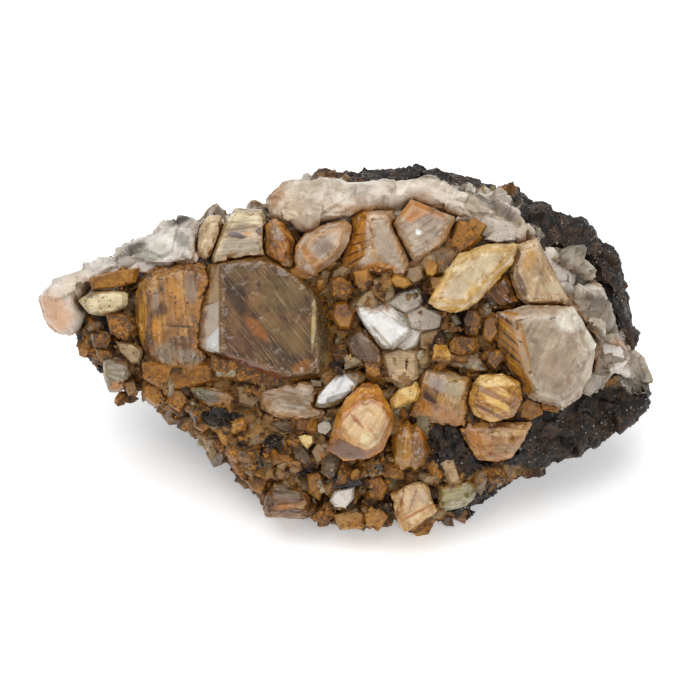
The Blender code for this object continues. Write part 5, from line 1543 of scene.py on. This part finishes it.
def bare_ground(u, v, w):
    """How likely black grains are at a place."""
    share = BACK_GRAIN_SHARE if w < BACK_LEVEL else 1.0
    return 0.0 if in_cavity(u, v, w) else black_share(u, v, w) * share


def in_cavity(u, v, _):
    """1 in the hollow where black needles stand, and 0 elsewhere."""
    return 1.0 if oval_reach(CAVITY, u, v) < 1 else 0.0


def add_splinter(heap, dice, place, up, width, height, tone):
    """Adds a pointed grain with eight faces, which stands out of the rock at a place."""
    rise, side, front = growing_axes(dice, up, 0.7)
    corners = [place + rise * height * dice.uniform(0.7, 1.1), place - rise * height * 0.6]
    for a, b in ((1, 0), (0, 1), (-1, 0), (0, -1)):
        out = side * a * dice.uniform(0.6, 1.1) + front * b * dice.uniform(0.6, 1.1)
        corners.append(place + out * width + rise * height * dice.uniform(-0.2, 0.45))
    faces = [(0, 2, 3), (0, 3, 4), (0, 4, 5), (0, 5, 2), (1, 3, 2), (1, 4, 3), (1, 5, 4), (1, 2, 5)]
    heap.add(corners, faces, tone, rise, place.dot(up), up)


def black_grain_material():
    """Glossy black grains, with a few brown and grey ones among them; the palest are painted glints."""
    shade = Shade("black_grain_look")
    colour = shade.ramp(
        shade.attribute("tone"),
        (0.0, tint("060607")),
        (0.45, tint("1b1a1a")),
        (0.62, tint("3d2c1c")),
        (0.8, tint("463d34")),
        (0.92, tint("6c6459")),
        # The last stop is a painted highlight: a few grains painted pale as glints.
        (1.0, tint("aba396")),
    )
    return shade.finish(colour, 0.24, Specular_IOR_Level=0.4, Coat_Weight=0.2)


def add_grain(heap, dice, place, up, size, sunk=0.0):
    """Adds a grain of random height and tone, sunk into the rock by a share of its size."""
    height = size * dice.uniform(0.6, 1.0)
    add_splinter(heap, dice, place - up * size * sunk, up, size, height, dice.random())


# Stage

# Half the floor's width in metres, and how strongly it glows.
FLOOR_REACH = 3.0
FLOOR_GLOW = 0.3

# Each light: its name, its place from the middle of the face and its size, in metres, and its share of the
# softbox's power.
LIGHTS = (
    ("softbox", Vector((-0.08, 0.06, 0.5)), 0.7, 1.0),
    ("front_light", Vector((0.25, -0.45, 0.35)), 0.25, 0.25),
)


# Settings


class MatrixSettings(bpy.types.PropertyGroup):
    voxel: FloatProperty(
        name="Rock detail", description="Size in millimetres of the rock's finest facets", default=0.43,
        min=0.2,
    )
    rust_dark: FloatVectorProperty(
        name="Dark rust", description="Colour of the deeper rust on the matrix", subtype="COLOR",
        size=3, min=0, max=1, default=tint("4e3016")[:3],
    )
    rust_light: FloatVectorProperty(
        name="Light rust", description="Colour of the ochre rust on the matrix", subtype="COLOR",
        size=3, min=0, max=1, default=tint("8a5f2c")[:3],
    )


class CrystalSettings(bpy.types.PropertyGroup):
    voxel: FloatProperty(
        name="Crystal detail", description="Size in millimetres of a crystal's finest facets", default=0.24,
        min=0.15,
    )
    crust_voxel: FloatProperty(
        name="Crust detail", description="Size in millimetres of the quartz's finest facets", default=0.3,
        min=0.15,
    )


class GrainSettings(bpy.types.PropertyGroup):
    middling: IntProperty(
        name="Middling crystals", description="How many crystals of 1 to 3 mm fill the rusty ground",
        default=400, min=0,
    )
    small: IntProperty(
        name="Small crystals", description="How many crystals of about 1 mm lie between them", default=800,
        min=0,
    )
    crumbs: IntProperty(
        name="Rust crumbs", description="How many crumbs of rust lie in the hollows", default=1500, min=0
    )
    black_grains: IntProperty(
        name="Black grains", description="How many glossy grains cover the bare matrix", default=12000,
        min=0,
    )
    needles: IntProperty(
        name="Black needles", description="How many black needles stand in the cavity", default=46, min=0
    )


class StageSettings(bpy.types.PropertyGroup):
    softbox_power: FloatProperty(
        name="Softbox", description="Light of the softbox over the specimen", default=3.3, min=0,
        unit="POWER",
    )
    surround: FloatProperty(
        name="Surround", description="Strength of the white surround", default=0.46, min=0
    )


# Operators


class SPECIMEN_OT_crystals(bpy.types.Operator):
    """Makes one group of large crystals from their solids"""

    bl_idname = "specimen.crystals"
    bl_label = "Large crystals"

    group: EnumProperty(
        name="Group",
        description="Which crystals to make",
        items=[(key, key.capitalize(), "The %s crystals" % key) for key in CRYSTAL_GROUPS],
    )

    def execute(self, context):
        for node in CRYSTAL_GROUPS[self.group]:
            dress_crystal(node, context.scene.specimen_crystals.voxel)
        return {"FINISHED"}


class SPECIMEN_OT_crusts(bpy.types.Operator):
    """Makes the milky quartz crusts"""

    bl_idname = "specimen.crusts"
    bl_label = "Quartz crusts"

    def execute(self, context):
        for node, look in CRUST_LOOKS.items():
            dress_crust(node, look, context.scene.specimen_crystals.crust_voxel)
        return {"FINISHED"}


class SPECIMEN_OT_matrix(bpy.types.Operator):
    """Makes the broken rock that everything grows on"""

    bl_idname = "specimen.matrix"
    bl_label = "Matrix"

    def execute(self, context):
        settings = context.scene.specimen_matrix
        obj = node_copy("matrix", "matrix_stone")
        remesh(obj, settings.voxel)
        near = distances_to_solids(obj, LOOKS, FOOT_REACH)
        numbers = raise_surface(obj, matrix_relief(near))
        for column, name in enumerate(("tone", "strata", "crease", "bare", "milky")):
            keep_number(obj, name, numbers[:, column])
        keep_above_ground(obj)
        smooth_shaded(obj, degrees=40)
        wear(obj, matrix_material(settings))
        ride(obj, "matrix", "matrix")
        return {"FINISHED"}


class SPECIMEN_OT_small_crystals(bpy.types.Operator):
    """Makes the small crystals that fill the rusty ground, one piece for each kind"""

    bl_idname = "specimen.small_crystals"
    bl_label = "Small crystals"

    def execute(self, context):
        settings = context.scene.specimen_grains
        rock = bpy.data.objects["matrix_stone"].data
        dice = random.Random(SMALL_CRYSTAL_SEED)
        heaps = {kind: Heap() for kind in KINDS}
        face_out = Vector((0.0, 0.0, 1.0))
        level = (0.0, 0.0)
        no_foot = -math.inf

        for kind, tone, w, slope, outline in SET_CRYSTALS:
            lines = random_way(dice, 0.4)
            corners, faces = hull(set_crystal_corners(dice, w, slope, outline))
            heaps[kind].add(corners, faces, tone, lines, w - SET_ROOT * SET_FOOT_SHARE, face_out)
        ground = solids_tree(["matrix", *CRUST_LOOKS])
        for outline in FILLING_PIECES:
            levels = [ground_level(ground, *corner) for corner in outline]
            w = sum(levels) / len(levels) + FILLING_RISE
            corners, faces = hull(set_crystal_corners(dice, w, level, outline))
            heaps["milky"].add(corners, faces, dice.uniform(0.3, 0.8), face_out, no_foot, face_out)
        keep_off = solids_tree([*LOOKS, *CRUST_LOOKS], heaps.values())

        for count, clearance, sizes in (
            (settings.middling, MIDDLING_CLEARANCE, MIDDLING_SIZES),
            (settings.small, SMALL_CLEARANCE, SMALL_SIZES),
        ):
            for place, up in scatter_places(rock, keep_off, dice, count, rusty_ground, clearance):
                size = random_size(dice, *sizes)
                if up.z < RIM_SLOPE:
                    size *= RIM_SHRINK
                kind = kind_at(dice, place.x, place.y)
                lines = random_way(dice, 0.4)
                long = size * dice.uniform(1.0, 1.8)
                wide = size * dice.uniform(0.55, 0.9)
                tall = size * dice.uniform(0.8, 1.2)
                root = place - up * size * SMALL_SUNK
                corners, faces = hull(broken_block(dice, root, up, long, wide, tall))
                tone = min(max(dice.gauss(*SMALL_TONE), 0.0), 1.0)
                heaps[kind].add(corners, faces, tone, lines, place.dot(up) - size * SMALL_FOOT, up)

        for kind, look in KINDS.items():
            name = "small_%s_crystals" % kind
            obj = heaps[kind].build(name, SMALL_BEVEL)
            wear(obj, small_crystal_material(name + "_look", look))
            ride(obj, look["slot"])
        return {"FINISHED"}


class SPECIMEN_OT_grains(bpy.types.Operator):
    """Makes the black grains and needles of the bare rock and the rust crumbs"""

    bl_idname = "specimen.grains"
    bl_label = "Grains, needles and crumbs"

    def execute(self, context):
        settings = context.scene.specimen_grains
        rock = bpy.data.objects["matrix_stone"].data
        keep_off = solids_tree([*LOOKS, *CRUST_LOOKS])
        dice = random.Random(GRAIN_SEED)

        def places(count, chooses, clearance):
            return scatter_places(rock, keep_off, dice, count, chooses, clearance)

        heap = Heap()
        for place, up in places(settings.black_grains, bare_ground, GRAIN_CLEARANCE):
            add_grain(heap, dice, place, up, random_size(dice, *GRAIN_SIZES), GRAIN_SUNK)
        for place, up in places(settings.needles, in_cavity, NEEDLE_CLEARANCE):
            width = dice.uniform(*NEEDLE_WIDTHS)
            add_splinter(heap, dice, place, up, width, dice.uniform(*NEEDLE_HEIGHTS), NEEDLE_TONE)
        grains = heap.build("black_grains")
        wear(grains, black_grain_material())
        ride(grains, "matrix")

        heap = Heap()
        for place, up in places(settings.crumbs, rusty_ground, CRUMB_CLEARANCE):
            add_grain(heap, dice, place, up, random_size(dice, *CRUMB_SIZES))
        crumbs = heap.build("rust_crumbs")
        wear(crumbs, small_crystal_material("rust_crumb_look", KINDS["rusty"]))
        ride(crumbs, "rusty")
        return {"FINISHED"}


class SPECIMEN_OT_stage(bpy.types.Operator):
    """Makes the pale floor, the softbox, the white surround and the camera"""

    bl_idname = "specimen.stage"
    bl_label = "Stage"

    def execute(self, context):
        scene = context.scene
        settings = scene.specimen_stage
        form = bmesh.new()
        bmesh.ops.create_grid(form, x_segments=1, y_segments=1, size=FLOOR_REACH)
        mesh = bpy.data.meshes.new("floor")
        form.to_mesh(mesh)
        form.free()
        floor = link("floor", mesh)
        shade = Shade("floor_look")
        white = (0.95, 0.95, 0.95, 1.0)
        wear(floor, shade.finish(white, 0.9, Emission_Color=white, Emission_Strength=FLOOR_GLOW))

        world = bpy.data.worlds.new("surround")
        world.use_nodes = True
        background = world.node_tree.nodes["Background"]
        background.inputs["Color"].default_value = (1.0, 1.0, 1.0, 1.0)
        background.inputs["Strength"].default_value = settings.surround
        scene.world = world

        middle = face_point(0.0, 0.0, 0.0)
        for name, offset, size, share in LIGHTS:
            light = bpy.data.lights.new(name, "AREA")
            light.size = size
            light.energy = settings.softbox_power * share
            lamp = bpy.data.objects.new(name, light)
            lamp.location = middle + offset
            lamp.rotation_euler = (-offset).to_track_quat("-Z", "Y").to_euler()
            scene.collection.objects.link(lamp)

        lens = bpy.data.cameras.new("camera")
        lens.sensor_width = SENSOR
        lens.lens = SENSOR * VIEW_DISTANCE / FRAME_WIDTH
        lens.clip_start = 0.01
        camera = bpy.data.objects.new("camera", lens)
        camera.location = middle + FACE_OUT * (VIEW_DISTANCE * MM)
        camera.rotation_euler = (math.pi / 2 - FACE_LEAN, 0.0, 0.0)
        scene.collection.objects.link(camera)
        scene.camera = camera
        scene.view_settings.view_transform = "Standard"
        return {"FINISHED"}


class SPECIMEN_PT_panel(bpy.types.Panel):
    """Lists the specimen's pieces and their settings"""

    bl_idname = "SPECIMEN_PT_panel"
    bl_label = "Titanite specimen"
    bl_space_type = "VIEW_3D"
    bl_region_type = "UI"
    bl_category = "Specimen"

    def draw(self, context):
        layout = self.layout
        scene = context.scene
        for label, group in (
            ("Matrix", scene.specimen_matrix),
            ("Crystals", scene.specimen_crystals),
            ("Grains", scene.specimen_grains),
            ("Stage", scene.specimen_stage),
        ):
            box = layout.box()
            box.label(text=label)
            for key in group.__annotations__:
                box.prop(group, key)
        layout.operator(SPECIMEN_OT_matrix.bl_idname)
        for group in CRYSTAL_GROUPS:
            row = layout.operator(SPECIMEN_OT_crystals.bl_idname, text="%s crystals" % group.capitalize())
            row.group = group
        layout.operator(SPECIMEN_OT_crusts.bl_idname)
        layout.operator(SPECIMEN_OT_small_crystals.bl_idname)
        layout.operator(SPECIMEN_OT_grains.bl_idname)
        layout.operator(SPECIMEN_OT_stage.bl_idname)


CLASSES = (
    MatrixSettings,
    CrystalSettings,
    GrainSettings,
    StageSettings,
    SPECIMEN_OT_crystals,
    SPECIMEN_OT_crusts,
    SPECIMEN_OT_matrix,
    SPECIMEN_OT_small_crystals,
    SPECIMEN_OT_grains,
    SPECIMEN_OT_stage,
    SPECIMEN_PT_panel,
)
GROUPS = {
    "specimen_matrix": MatrixSettings,
    "specimen_crystals": CrystalSettings,
    "specimen_grains": GrainSettings,
    "specimen_stage": StageSettings,
}


def register():
    for cls in CLASSES:
        bpy.utils.register_class(cls)
    for name, group in GROUPS.items():
        setattr(bpy.types.Scene, name, PointerProperty(type=group))


def unregister():
    for name in GROUPS:
        delattr(bpy.types.Scene, name)
    for cls in reversed(CLASSES):
        bpy.utils.unregister_class(cls)


def main():
    register()
    bpy.ops.specimen.matrix()
    for group in CRYSTAL_GROUPS:
        bpy.ops.specimen.crystals(group=group)
    bpy.ops.specimen.crusts()
    bpy.ops.specimen.small_crystals()
    bpy.ops.specimen.grains()
    bpy.ops.specimen.stage()


if __name__ == "__main__":
    main()
